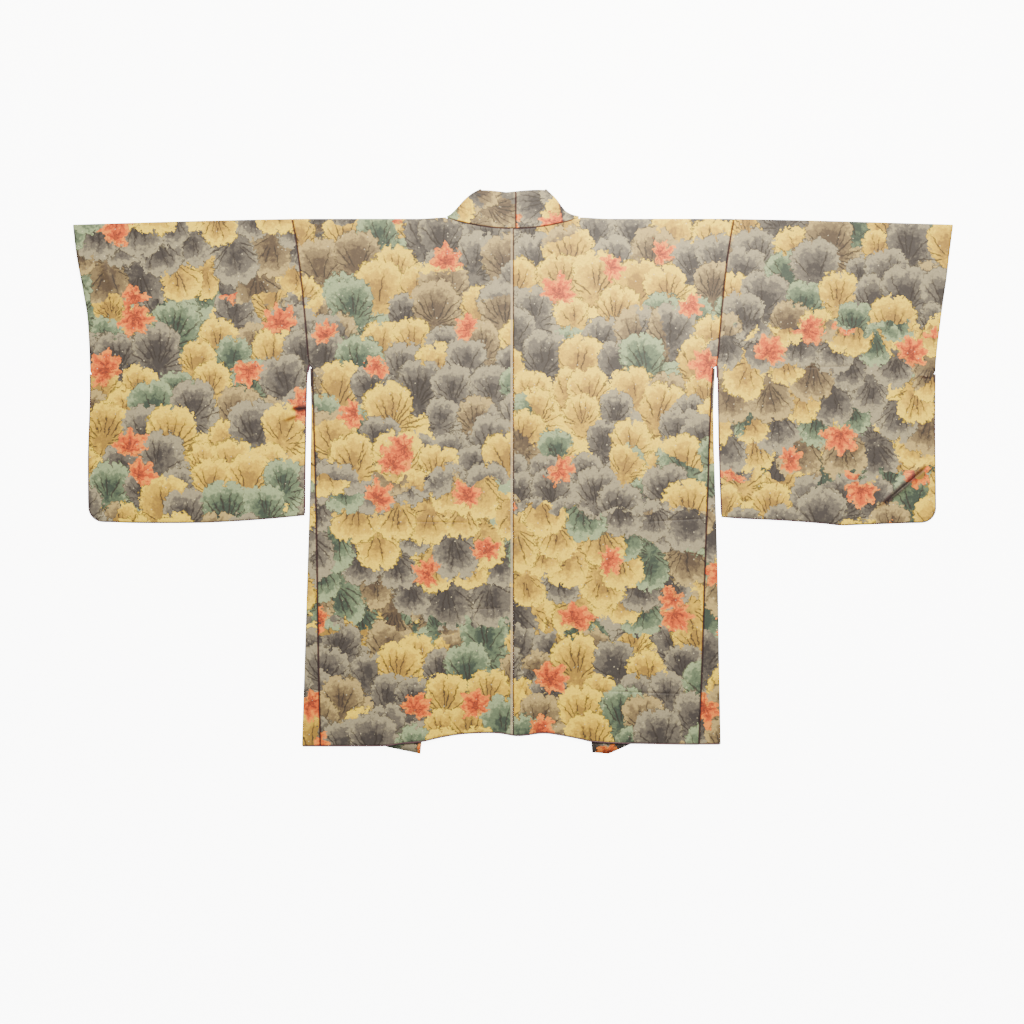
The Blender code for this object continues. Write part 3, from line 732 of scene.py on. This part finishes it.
def collar_patches(side):
    sign = side_sign(side)
    run = np.array([FREE_FOLD[0] - SEWN_FOLD[0], FREE_FOLD[1] - SEWN_FOLD[1]])
    length = np.hypot(*run)
    outward = np.array([run[1], -run[0]]) / length
    centre_x = sign * COLLAR_SEAM_X + SEAM_GAP / 2
    across = shares(length, from_seam=True)[None, :]
    bulge = along(COLLAR_BULGE[side], across)

    t = shares(NECK_BAND_LENGTH, from_seam=True)[:, None]
    free_x = between(centre_x, FREE_FOLD[0], t)
    sewn_x = between(centre_x, SEWN_FOLD[0], t)
    free_y = collar_top_y(sign * free_x) + (FREE_FOLD[1] - COLLAR_CORNER[1]) * t**3
    sewn_y = neckline_y(sewn_x) + (SEWN_FOLD[1] - neckline_y(SEWN_FOLD[0])) * t**8
    x = between(sewn_x, free_x, across) + bulge * outward[0] * t**2
    y = between(sewn_y, free_y, across) + bulge * outward[1] * t**2
    rise = BAND_UPPER_MID - BAND_DIP * (1 - smooth(t))
    rise = rise + fine_relief(sign * x, y) * smooth(across / BAND_CALM_SHARE)
    from_seam = np.minimum(across * length, x - centre_x)
    neck = patch(sign * x, y, rise, across * length, sign * x, from_seam)

    t = shares(FRONT_BAND_LENGTH, step=FLAT_STEP)[:, None]
    ends = np.array(BAND_END[side])
    end_x, end_y = (np.interp(across, ends[:, 0], ends[:, k]) for k in (1, 2))
    fading = bulge * (1 - smooth(t / BULGE_FADE_SHARE))
    x = between(between(SEWN_FOLD[0], FREE_FOLD[0], across), end_x, t) + fading * outward[0]
    y = between(between(SEWN_FOLD[1], FREE_FOLD[1], across), end_y, t) + fading * outward[1]
    front = patch(sign * x, y, BAND_LOWER_MID, across * length, sign * (BAND_TURN_LENGTH - y))

    out = np.tile([sign * outward[0], outward[1]], (across.shape[1], 1))
    along_band = np.tile([0.0, float(sign)], (across.shape[1], 1))
    fold = turned_edge(neck[0][-1], front[0][0], out, neck[1][-1], along_band)
    return [neck, front, fold], []


# ---- Shader graphs --------------------------------------------------------------------------


def operator(operation, swapped=False):
    """A method that adds a Math node for one of Python's operators."""

    def apply(self, other):
        operands = (other, self) if swapped else (self, other)
        return self.graph.math(operation, *operands)

    return apply


class Value:
    """A number socket. Python's operators on it add Math nodes."""

    __add__ = __radd__ = operator("ADD")
    __sub__, __rsub__ = operator("SUBTRACT"), operator("SUBTRACT", swapped=True)
    __mul__ = __rmul__ = operator("MULTIPLY")
    __truediv__, __rtruediv__ = operator("DIVIDE"), operator("DIVIDE", swapped=True)
    __mod__ = operator("FLOORED_MODULO")
    __lt__ = operator("LESS_THAN")
    __gt__ = operator("GREATER_THAN")

    def __init__(self, graph, socket):
        self.graph = graph
        self.socket = socket

    def __abs__(self):
        return self.graph.math("ABSOLUTE", self)

    def floor(self):
        return self.graph.math("FLOOR", self)

    def fraction(self):
        return self.graph.math("FRACT", self)


class Graph:
    """A material's node tree."""

    def __init__(self, name):
        self.material = bpy.data.materials.new(name)
        self.material.use_nodes = True
        self.tree = self.material.node_tree
        self.shader = self.tree.nodes["Principled BSDF"]

    def node(self, kind, settings, inputs):
        """Adds a node, with its settings first and then the values or links of its sockets."""
        made = self.tree.nodes.new(kind)
        stops = settings.pop("stops", None)
        for name, value in settings.items():
            setattr(made, name, value)
        if stops:
            ramp = made.color_ramp
            ramp.interpolation = "CONSTANT"
            while len(ramp.elements) < len(stops):
                ramp.elements.new(1.0)
            for element, (place, colour) in zip(ramp.elements, stops):
                element.position = place
                element.color = (*colour, 1)
        for key, value in inputs.items():
            self.feed(made.inputs[key], value)
        return made

    def feed(self, socket, value):
        if isinstance(value, Value):
            self.tree.links.new(value.socket, socket)
        elif isinstance(value, bpy.types.NodeSocket):
            self.tree.links.new(value, socket)
        else:
            socket.default_value = value

    def value(self, node, output=0):
        return Value(self, node.outputs[output])

    def math(self, operation, *operands):
        return self.value(self.node("ShaderNodeMath", {"operation": operation}, dict(enumerate(operands))))

    def step(self, value, low, high):
        """0 below low and 1 above high, or the other way round where low is the larger."""
        settings = {"interpolation_type": "SMOOTHSTEP"}
        inputs = {0: value, 1: low, 2: high, 3: 0.0, 4: 1.0}
        return self.value(self.node("ShaderNodeMapRange", settings, inputs))

    def vector(self, x, y, z=0.0):
        return self.node("ShaderNodeCombineXYZ", {}, {0: x, 1: y, 2: z}).outputs[0]

    def vector_math(self, operation, a, b):
        return self.node("ShaderNodeVectorMath", {"operation": operation}, {0: a, 1: b}).outputs[0]

    def parts(self, vector):
        made = self.node("ShaderNodeSeparateXYZ", {}, {0: vector})
        return [self.value(made, k) for k in range(3)]

    def attribute(self, name):
        return self.value(self.node("ShaderNodeAttribute", {"attribute_name": name}, {}), 2)

    def random(self, vector):
        """Three random numbers for a vector; its last number keeps one use's draws apart from another's."""
        made = self.node("ShaderNodeTexWhiteNoise", {"noise_dimensions": "3D"}, {0: vector})
        return self.parts(made.outputs[1])

    def noise_node(self, vector, scale, detail, roughness):
        inputs = {"Vector": vector, "Scale": scale, "Detail": detail, "Roughness": roughness}
        return self.node("ShaderNodeTexNoise", {"noise_dimensions": "3D"}, inputs)

    def noise(self, vector, scale, detail=2.0, roughness=0.5):
        return self.value(self.noise_node(vector, scale, detail, roughness))

    def noise_parts(self, vector, scale, detail=2.0):
        return self.parts(self.noise_node(vector, scale, detail, 0.5).outputs[1])

    def choose(self, mask, vector, other):
        """The vector where mask is 0 and the other where it is 1."""
        made = self.node("ShaderNodeMix", {"data_type": "VECTOR"}, {0: mask, 4: vector, 5: other})
        return made.outputs[1]

    def tint(self, amount, colour, other, blend="MIX"):
        """A colour mixed towards the other by the amount."""
        colours = [c if isinstance(c, bpy.types.NodeSocket) else (*c, 1) for c in (colour, other)]
        settings = {"data_type": "RGBA", "blend_type": blend}
        return self.node("ShaderNodeMix", settings, {0: amount, 6: colours[0], 7: colours[1]}).outputs[2]

    def ramp(self, value, stops):
        return self.node("ShaderNodeValToRGB", {"stops": stops}, {0: value}).outputs[0]

    def grey(self, value):
        return self.vector(value, value, value)


# ---- Print: overlapping ginkgo leaves in rows, and small maple leaves on them ---------------

LEAF_PITCH = (0.054, 0.037)  # across a row, and from row to row
LEAF_HEIGHT = 0.074
LEAF_HALF_WIDTH = 0.031
LEAF_WIDEST = 0.56  # up the leaf
LEAF_FLARE = 0.16  # how much wider it gets on the way up
LEAF_ROWS = (0, -1, -2)  # rows that can reach a point, from the one behind to the one in front
LEAF_JITTER = (0.36, 0.50)
LEAF_SIZES = (0.78, 0.42)  # smallest, and how much more the largest has
LEAF_TURN = 0.6
NOTCH_HALF_WIDTH = 0.0038
NOTCH_DEPTH = 0.34
RAGGED = 0.020  # how far the ragged edges wander
WANDER = 0.007  # how far whole edges wander
MAPLE_WANDER = 0.016
VEIN_FOOT = 0.014  # up the leaf
VEIN_ANGLE = 0.26
VEIN_WIDTH = 0.0009
STREAKS = 15.0  # light and dark rays for each radian of a leaf
# Two sparse layers of maple leaves: pitch, turn of their grid, share of places filled, salt
MAPLE_LAYERS = ((0.084, 0.35, 0.23, 11.0), (0.093, 1.05, 0.20, 23.0))
MAPLE_RADIUS = 0.030
MAPLE_LOBES = 7
MAPLE_SPREAD = 0.86  # share of the full turn that its lobes take
MAPLE_SIZES = (0.74, 0.34)  # smallest, and how much more the largest has
MAPLE_PLACES = (0.40, 0.20)  # where in its cell a leaf can lie: from, and over what stretch
MAPLE_TAPER = 3.4  # how much shorter the lobes get towards the stalk
MAPLE_CUT = 0.40  # depth of the cuts between its lobes
MAPLE_CORE = 0.10  # what is added all round, by its radius
MAPLE_CROWDING = 1.2  # how strongly they gather in some parts of the cloth
MAPLE_PUSH = 4.0  # takes a leaf that is left out below every edge
PLEAT_PRINT_STEP = (0.310, 0.170)

# How fine the print's noises and specks are, in cycles per metre
FRAY_SCALE = 190.0
SWAY_SCALE = 38.0
MOTTLE_SCALE = 330.0
BLOT_SCALE = 120.0
CLUSTER_SCALE = 5.5
SPECK_SCALE = 190.0
RIB_PITCH = 0.0011  # of the silk's ribs, in metres

# Stretches of depth over which a leaf's colour changes
EDGE_TO_BODY = (0.06, 0.44)
BODY_TO_BASE = (0.50, 0.95)
# Distances from a leaf's foot at which its veins begin and end, faint and full, and how they vary
VEIN_BEGIN = (0.004, 0.008)
VEIN_BEGIN_VARIES = 0.012
VEIN_END = (0.048, 0.026)
VEIN_END_VARIES = (0.008, 0.014)
VEINS_MISSING = 0.34  # share of them

# Leaf colours by share: (start of share, edge, body, base)
LEAF_COLOURS = (
    (0.00, (0.300, 0.365, 0.190), (0.120, 0.162, 0.092), (0.040, 0.057, 0.041)),
    (0.19, (0.980, 0.660, 0.028), (0.660, 0.400, 0.026), (0.330, 0.185, 0.030)),
    (0.47, (0.460, 0.328, 0.118), (0.205, 0.141, 0.064), (0.083, 0.054, 0.032)),
    (0.59, (0.325, 0.276, 0.172), (0.130, 0.110, 0.087), (0.048, 0.039, 0.036)),
)
MAPLE_COLOURS = ((0.950, 0.260, 0.024), (0.700, 0.100, 0.014), (0.380, 0.050, 0.015))
INK = (0.027, 0.019, 0.015)
CREASE_SHADE = (0.340, 0.220, 0.260)
SEAM_SHADE = (0.036, 0.015, 0.018)
RIDGE_HIGHLIGHT_COLOUR = (0.520, 0.400, 0.250)
SPECK = (0.950, 0.840, 0.560)


def leaf_edge(graph, x, y):
    """1 at a leaf's middle and 0 on its notched edge; x and y are from its foot, in metres."""
    above = y - LEAF_WIDEST * LEAF_HEIGHT
    up = above / ((1 - LEAF_WIDEST) * LEAF_HEIGHT)
    rise = graph.math("MAXIMUM", up, above / (-LEAF_WIDEST * LEAF_HEIGHT))
    narrow = x / (LEAF_HALF_WIDTH + above * LEAF_FLARE)
    notch = graph.step(abs(x), NOTCH_HALF_WIDTH, 0.0) * up * NOTCH_DEPTH
    return 1 - graph.math("SQRT", narrow * narrow + rise * rise) - graph.math("MAXIMUM", notch, 0.0)


def leaf_rows(graph, u, v):
    """Place in the foremost leaf (x and y from its foot) and the leaf's number, as one vector."""
    pitch_u, pitch_v = LEAF_PITCH
    row_place, column_place = v / pitch_v, u / pitch_u
    first_row = row_place.floor()
    winner = None
    for behind in LEAF_ROWS:
        row = first_row + behind
        stagger = (row % 2) * 0.5
        first_column = (column_place - stagger).floor()
        for beside in (0, 1):
            column = first_column + beside
            chance, chance_up, chance_size = graph.random(graph.vector(column, row, 3.0))
            size = LEAF_SIZES[0] + LEAF_SIZES[1] * chance_size
            dx = (column_place - column - stagger - (chance - 0.5) * LEAF_JITTER[0]) * pitch_u
            dy = (row_place - row - (chance_up - 0.5) * LEAF_JITTER[1]) * pitch_v
            lean = ((chance * 17.0).fraction() - 0.5) * LEAF_TURN
            x = (dx + dy * lean) / size
            y = (dy - dx * lean) / size
            here = graph.vector(x, y, row * 64 + column)
            if winner is None:
                winner = here
            else:
                winner = graph.choose(leaf_edge(graph, x, y) > 0.0, winner, here)
    return winner


def watercolour(graph, depth, colours):
    """Edge colour, body and base of a leaf, by depth from 0 to 1."""
    edge, body, base = colours
    blended = graph.tint(graph.step(depth, *EDGE_TO_BODY), edge, body)
    return graph.tint(graph.step(depth, *BODY_TO_BASE), blended, base)


def veins(graph, x, y, number, mottle):
    """Thin broken strokes that fan out from the leaf's foot."""
    reach = y - VEIN_FOOT
    angle = graph.math("ARCTAN2", x, reach) / VEIN_ANGLE + (mottle - 0.5) * 0.7
    far = graph.math("SQRT", x * x + reach * reach)
    spoke = angle.floor()
    missing, start, stop = graph.random(graph.vector(spoke, number, 7.0))
    off = abs(angle - spoke - 0.3 - start * 0.4) * VEIN_ANGLE * far
    stroke = graph.step(off, VEIN_WIDTH * 1.5, VEIN_WIDTH * 0.5)
    begin = graph.step(far, *(place + stop * VEIN_BEGIN_VARIES for place in VEIN_BEGIN))
    end = graph.step(far, *(place + start * by for place, by in zip(VEIN_END, VEIN_END_VARIES)))
    return stroke * begin * end * (missing > VEINS_MISSING)


def maple_layer(graph, u, v, layer):
    """1 at the middle of small lobed leaves and 0 on their edges, and their ink strokes."""
    pitch, turn, filled, salt = layer
    along_u = (u * math.cos(turn) + v * math.sin(turn)) / pitch
    along_v = (v * math.cos(turn) - u * math.sin(turn)) / pitch
    cell_u, cell_v = along_u.floor(), along_v.floor()
    place_u, place_v, present = graph.random(graph.vector(cell_u, cell_v, salt))
    size = MAPLE_RADIUS * (MAPLE_SIZES[0] + MAPLE_SIZES[1] * (present * 13.0).fraction())
    dx = (along_u - cell_u - MAPLE_PLACES[0] - place_u * MAPLE_PLACES[1]) * pitch
    dy = (along_v - cell_v - MAPLE_PLACES[0] - place_v * MAPLE_PLACES[1]) * pitch
    far = graph.math("SQRT", dx * dx + dy * dy) / size
    spin = (present * 29.0).fraction()
    way = (graph.math("ARCTAN2", dx, dy) / (2 * math.pi) + spin).fraction() - 0.5
    lobe = way * (MAPLE_LOBES / MAPLE_SPREAD)
    off_lobe = abs((lobe + 0.5).fraction() - 0.5) * 2
    reach = (1.0 - way * way * MAPLE_TAPER) * (1.0 - off_lobe * MAPLE_CUT) + MAPLE_CORE
    crowd = graph.noise(graph.vector(cell_u, cell_v, salt), 0.37, 0.0)
    kept = graph.step(present + (crowd - 0.5) * MAPLE_CROWDING, filled, filled - 0.001)
    stroke = graph.step(off_lobe * far, 0.20, 0.05) * graph.step(far, 0.85, 0.40)
    return graph.math("MULTIPLY_ADD", kept, MAPLE_PUSH, reach - far - MAPLE_PUSH), stroke


def maple_leaves(graph, u, v):
    layers = [maple_layer(graph, u, v, layer) for layer in MAPLE_LAYERS]
    (leaf, stroke), (other, other_stroke) = layers
    nearer = other > leaf
    return graph.math("MAXIMUM", leaf, other), stroke + (other_stroke - stroke) * nearer


def leaf_print_and_painted_shade(graph):
    """Colour of the printed silk with painted shade and a painted highlight, its cloth coordinates and a
    fine mottle.
    """
    cloth = graph.node("ShaderNodeUVMap", {"uv_map": "cloth"}, {}).outputs[0]
    beyond = graph.vector_math("ADD", cloth, (*PLEAT_PRINT_STEP, 0.0))
    cloth = graph.choose(graph.attribute("pleat") > 0.0, cloth, beyond)
    rough_u, rough_v, slow = graph.noise_parts(cloth, FRAY_SCALE, 3.0)
    wave_u, wave_v, mottle_wide = graph.noise_parts(cloth, SWAY_SCALE, 1.0)
    flat_u, flat_v, _ = graph.parts(cloth)
    turn = graph.attribute("print_turn") + (wave_u - 0.5) * 0.08 + (rough_u - 0.5) * 0.02
    upright = 1 - 2 * (turn < 0.0)
    ragged_u, ragged_v = (rough_u - 0.5) * RAGGED, (rough_v - 0.5) * RAGGED
    maple_u = flat_u * upright + ragged_u * 0.8 + (wave_u - 0.5) * MAPLE_WANDER
    maple_v = flat_v * upright + ragged_v * 0.8 + (wave_v - 0.5) * MAPLE_WANDER
    u = flat_u * upright + ragged_u + (wave_u - 0.5) * WANDER
    v = flat_v * upright + ragged_v + (wave_v - 0.5) * WANDER

    x, y, number = graph.parts(leaf_rows(graph, u, v))
    mottle = graph.noise(cloth, MOTTLE_SCALE, 4.0, 0.65)
    blot = graph.noise(cloth, BLOT_SCALE, 3.0, 0.6)
    kind, deep, _ = graph.random(graph.vector(number, 1.0, 5.0))
    cluster = graph.noise(graph.vector(u - x, v - y), CLUSTER_SCALE, 0.0)
    share = kind * 0.8 + 0.1 + (cluster - 0.5) * 0.9
    edge, body, base = (graph.ramp(share, [(row[0], row[k]) for row in LEAF_COLOURS]) for k in (1, 2, 3))
    inside = leaf_edge(graph, x, y)
    ray = graph.math("ARCTAN2", x, y + 0.006)
    streak = graph.noise(graph.vector(ray * STREAKS, y * 26.0, number), 1.0, 2.0)
    depth = inside * 0.95 + (0.72 - y / LEAF_HEIGHT) * 0.85 + (blot - 0.5) * 1.2
    depth = depth + (deep - 0.5) * 0.22 + (streak - 0.5) * 0.55
    colour = watercolour(graph, depth, (edge, body, base))
    line = graph.step(abs(inside - 0.015), 0.052, 0.018) * graph.step(mottle_wide, 0.41, 0.50)
    fan = veins(graph, x - ragged_u * 0.8, y - ragged_v * 0.8, number, slow)
    ink = graph.math("MAXIMUM", line * 0.8, fan * 0.85)
    colour = graph.tint(ink * graph.step(mottle, 0.28, 0.44), colour, INK)

    maple, stroke = maple_leaves(graph, maple_u, maple_v)
    maple_colour = watercolour(graph, maple * 1.3 + (blot - 0.5) * 1.7, MAPLE_COLOURS)
    rim = graph.step(abs(maple - 0.02), 0.05, 0.015) * graph.step(mottle_wide, 0.48, 0.56) * 0.6
    maple_ink = graph.math("MAXIMUM", stroke * (mottle > 0.47) * 0.5, rim)
    maple_colour = graph.tint(maple_ink, maple_colour, INK)
    colour = graph.tint(maple > 0.0, colour, maple_colour)

    dots = graph.node("ShaderNodeTexVoronoi", {"voronoi_dimensions": "2D"}, {0: cloth, 2: SPECK_SCALE})
    rare, _, _ = graph.parts(dots.outputs[1])
    speck = graph.step(graph.value(dots), 0.26, 0.08) * (rare + (slow - 0.5) * 0.9 > 1.0)
    colour = graph.tint(speck * 0.45, colour, SPECK)
    grain = 0.80 + graph.step(mottle, 0.22, 0.78) * 0.36
    colour = graph.tint(1.0, colour, graph.grey(grain), "MULTIPLY")
    shade = graph.attribute("shade")
    # Painted shade: colour multiplied darker where the shade attribute marks crease sides, seams and the
    # pleat, and mixed to dark at their cores
    colour = graph.tint(graph.step(shade, 0.0, 0.40), colour, CREASE_SHADE, "MULTIPLY")
    colour = graph.tint(graph.step(shade, 0.35, 0.85) * 0.92, colour, SEAM_SHADE)
    # Painted highlight: paler strip on the fold ridge beside the centre seam
    colour = graph.tint(graph.step(shade, 0.0, -1.0) * 0.7, colour, RIDGE_HIGHLIGHT_COLOUR)
    return colour, cloth, mottle


def printed_silk_material():
    graph = Graph("printed_silk")
    colour, cloth, mottle = leaf_print_and_painted_shade(graph)
    graph.feed(graph.shader.inputs["Base Color"], colour)
    graph.feed(graph.shader.inputs["Roughness"], 0.58 + (mottle - 0.5) * 0.2)
    graph.shader.inputs["Sheen Weight"].default_value = 0.12
    graph.shader.inputs["Sheen Roughness"].default_value = 0.5
    graph.shader.inputs["Specular IOR Level"].default_value = 0.3
    _, v, _ = graph.parts(cloth)
    ribs = graph.math("SINE", v * (2 * math.pi / RIB_PITCH)) * 0.35
    crepe = graph.noise(cloth, 900.0, 2.0)
    height = ribs + crepe
    bump = graph.node("ShaderNodeBump", {}, {"Strength": 0.25, "Distance": 0.0003, "Height": height})
    graph.feed(graph.shader.inputs["Normal"], bump.outputs[0])
    return graph.material


def plum_lining_material():
    graph = Graph("plum_lining")
    place = graph.node("ShaderNodeTexCoord", {}, {}).outputs["Object"]
    cloudy = graph.noise(place, 60.0, 3.0)
    colour = graph.tint(cloudy, (0.045, 0.012, 0.022), (0.085, 0.026, 0.040))
    graph.feed(graph.shader.inputs["Base Color"], colour)
    graph.feed(graph.shader.inputs["Roughness"], 0.42 + cloudy * 0.15)
    graph.shader.inputs["Sheen Weight"].default_value = 0.1
    weave = graph.noise(place, 1400.0, 1.0)
    bump = graph.node("ShaderNodeBump", {}, {"Strength": 0.2, "Distance": 0.0002, "Height": weave})
    graph.feed(graph.shader.inputs["Normal"], bump.outputs[0])
    return graph.material


printed_silk = printed_silk_material()
plum_lining = plum_lining_material()

# ---- Rolls of lining along the open edges, dark plum that is partly painted shadow ----------

ROLL_INPUTS = (
    # name, kind of socket, value
    ("Radius", "NodeSocketFloat", 0.0012),
    ("Unevenness", "NodeSocketFloat", 0.35),
    ("Wave length", "NodeSocketFloat", 0.030),
    ("Spacing", "NodeSocketFloat", 0.004),
    ("Material", "NodeSocketMaterial", plum_lining),
)
ROLL_LOWEST = 0.0015


def roll_tree():
    """Geometry nodes that lay a slightly uneven tube along each spline."""
    tree = bpy.data.node_groups.new("lining_and_shadow_roll", "GeometryNodeTree")
    tree.interface.new_socket("Geometry", in_out="INPUT", socket_type="NodeSocketGeometry")
    for name, kind, _ in ROLL_INPUTS:
        tree.interface.new_socket(name, in_out="INPUT", socket_type=kind)
    tree.interface.new_socket("Geometry", in_out="OUTPUT", socket_type="NodeSocketGeometry")

    def node(kind, settings, inputs):
        made = tree.nodes.new(kind)
        for name, value in settings.items():
            setattr(made, name, value)
        for key, value in inputs.items():
            if isinstance(value, bpy.types.NodeSocket):
                tree.links.new(value, made.inputs[key])
            else:
                made.inputs[key].default_value = value
        return made

    def math_node(operation, a, b):
        return node("ShaderNodeMath", {"operation": operation}, {0: a, 1: b}).outputs[0]

    given = node("NodeGroupInput", {}, {}).outputs
    inputs = {"Curve": given["Geometry"], "Length": given["Spacing"]}
    resampled = node("GeometryNodeResampleCurve", {"mode": "LENGTH"}, inputs)
    place = node("GeometryNodeInputPosition", {}, {}).outputs[0]
    scale = math_node("DIVIDE", 1.0, given["Wave length"])
    noise = node("ShaderNodeTexNoise", {}, {"Vector": place, "Scale": scale, "Detail": 1.0}).outputs[0]
    swing = math_node("MULTIPLY", math_node("SUBTRACT", noise, 0.5), given["Unevenness"])
    swell = math_node("MULTIPLY", given["Radius"], math_node("ADD", 1.0, swing))
    profile = node("GeometryNodeCurvePrimitiveCircle", {}, {"Resolution": 10, "Radius": 1.0}).outputs[0]
    inputs = {"Curve": resampled.outputs[0], "Profile Curve": profile, "Scale": swell, "Fill Caps": True}
    tube = node("GeometryNodeCurveToMesh", {}, inputs)
    soft = node("GeometryNodeSetShadeSmooth", {}, {"Geometry": tube.outputs[0]})
    whole = node("GeometryNodeRealizeInstances", {}, {"Geometry": soft.outputs[0]})
    finish = {"Geometry": whole.outputs[0], "Material": given["Material"]}
    finished = node("GeometryNodeSetMaterial", {}, finish)
    node("NodeGroupOutput", {}, {"Geometry": finished.outputs[0]})
    return tree


def lining_and_shadow_roll(name, paths, tree):
    """A mesh tube along the paths, made by the geometry nodes."""
    curve = bpy.data.curves.new(name + "_path", "CURVE")
    curve.dimensions = "3D"
    for path in paths:
        spline = curve.splines.new("POLY")
        spline.points.add(len(path) - 1)
        for point, (x, y, z) in zip(spline.points, path):
            point.co = (x, y, max(z, ROLL_LOWEST), 1)
    guide = bpy.data.objects.new(name + "_path", curve)
    bpy.context.scene.collection.objects.link(guide)
    modifier = guide.modifiers.new("roll", "NODES")
    modifier.node_group = tree
    sockets = {item.name: item.identifier for item in tree.interface.items_tree if item.in_out == "INPUT"}
    for input_name, _, value in ROLL_INPUTS:
        modifier[sockets[input_name]] = value
    bpy.context.view_layer.update()
    evaluated = guide.evaluated_get(bpy.context.evaluated_depsgraph_get())
    mesh = bpy.data.meshes.new_from_object(evaluated)
    mesh.name = name
    guide.modifiers.remove(modifier)
    bpy.data.objects.remove(guide)
    roll = bpy.data.objects.new(name, mesh)
    bpy.context.scene.collection.objects.link(roll)
    return roll


# ---- The pieces, each in place of its solid -------------------------------------------------

PATCHES = {
    "body": body_patches,
    "sleeve": sleeve_patches,
    "gusset": gusset_patches,
    "collar": collar_patches,
}

roll_nodes = roll_tree()
for kind, patches_for in PATCHES.items():
    for side in ("left", "right"):
        node = f"{kind}_{side}"
        patches, edges = patches_for(side)
        thickness = BAND_WALL if kind == "collar" else WALL
        inside = printed_silk if kind == "collar" else plum_lining
        piece = cloth_piece(f"{node}_silk", patches, thickness, [printed_silk, inside])
        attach(piece, "root")
        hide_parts(node)
        # The rolls show partly the lining's edge and partly painted shadow along the open edges
        if edges:
            roll = lining_and_shadow_roll(f"{node}_lining_and_shadow_roll", edges, roll_nodes)
            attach(roll, "root")

# ---- Floor, light and camera ----------------------------------------------------------------

FRAME_WIDTH = 1.488
LENS = 85.0
SENSOR = 36.0
VIEW_CENTRE = (-0.0015, -0.0594)
CLOTH_TOP = 0.004  # height at which the frame has its width
KEY_PLACE = (0.22, 1.02, 1.45)
KEY_AIM = (0.02, -0.02, 0)
LAMP_PLACE = (0.16, 0.27, 1.10)
FLOOR_GLOW = 9.0


def floor_material():
    """White paper that stays white to the camera but lights the cloth no more than paper does."""
    graph = Graph("floor_white")
    graph.shader.inputs["Base Color"].default_value = (0.9, 0.9, 0.9, 1)
    graph.shader.inputs["Roughness"].default_value = 0.9
    seen = graph.value(graph.node("ShaderNodeLightPath", {}, {}))
    graph.feed(graph.shader.inputs["Emission Color"], graph.grey(seen))
    graph.shader.inputs["Emission Strength"].default_value = FLOOR_GLOW
    return graph.material


bpy.ops.mesh.primitive_plane_add(size=8, location=(0, 0, -0.0003))
floor = bpy.context.object
floor.name = "floor"
floor.data.materials.append(floor_material())

world = bpy.data.worlds.new("studio")
bpy.context.scene.world = world
world.use_nodes = True
world.node_tree.nodes["Background"].inputs["Color"].default_value = (1, 1, 0.98, 1)
world.node_tree.nodes["Background"].inputs["Strength"].default_value = 0.50


def studio_light(name, kind, place, power, colour):
    light = bpy.data.objects.new(name, bpy.data.lights.new(name, kind))
    light.data.energy = power
    light.data.color = colour
    light.location = place
    bpy.context.scene.collection.objects.link(light)
    return light


key = studio_light("key", "AREA", KEY_PLACE, 68, (1.0, 0.955, 0.82))
key.data.size = 0.50
key.rotation_mode = "QUATERNION"
key.rotation_quaternion = (Vector(KEY_AIM) - Vector(KEY_PLACE)).to_track_quat("-Z", "Y")

lamp = studio_light("lamp", "SPOT", LAMP_PLACE, 34, (1.0, 0.95, 0.78))
lamp.data.spot_size = math.radians(30)
lamp.data.spot_blend = 1.0
lamp.data.shadow_soft_size = 0.08

camera = bpy.data.objects.new("camera", bpy.data.cameras.new("camera"))
camera.data.lens = LENS
camera.data.sensor_width = SENSOR
camera.location = (*VIEW_CENTRE, FRAME_WIDTH / SENSOR * LENS + CLOTH_TOP)
bpy.context.scene.collection.objects.link(camera)
bpy.context.scene.camera = camera
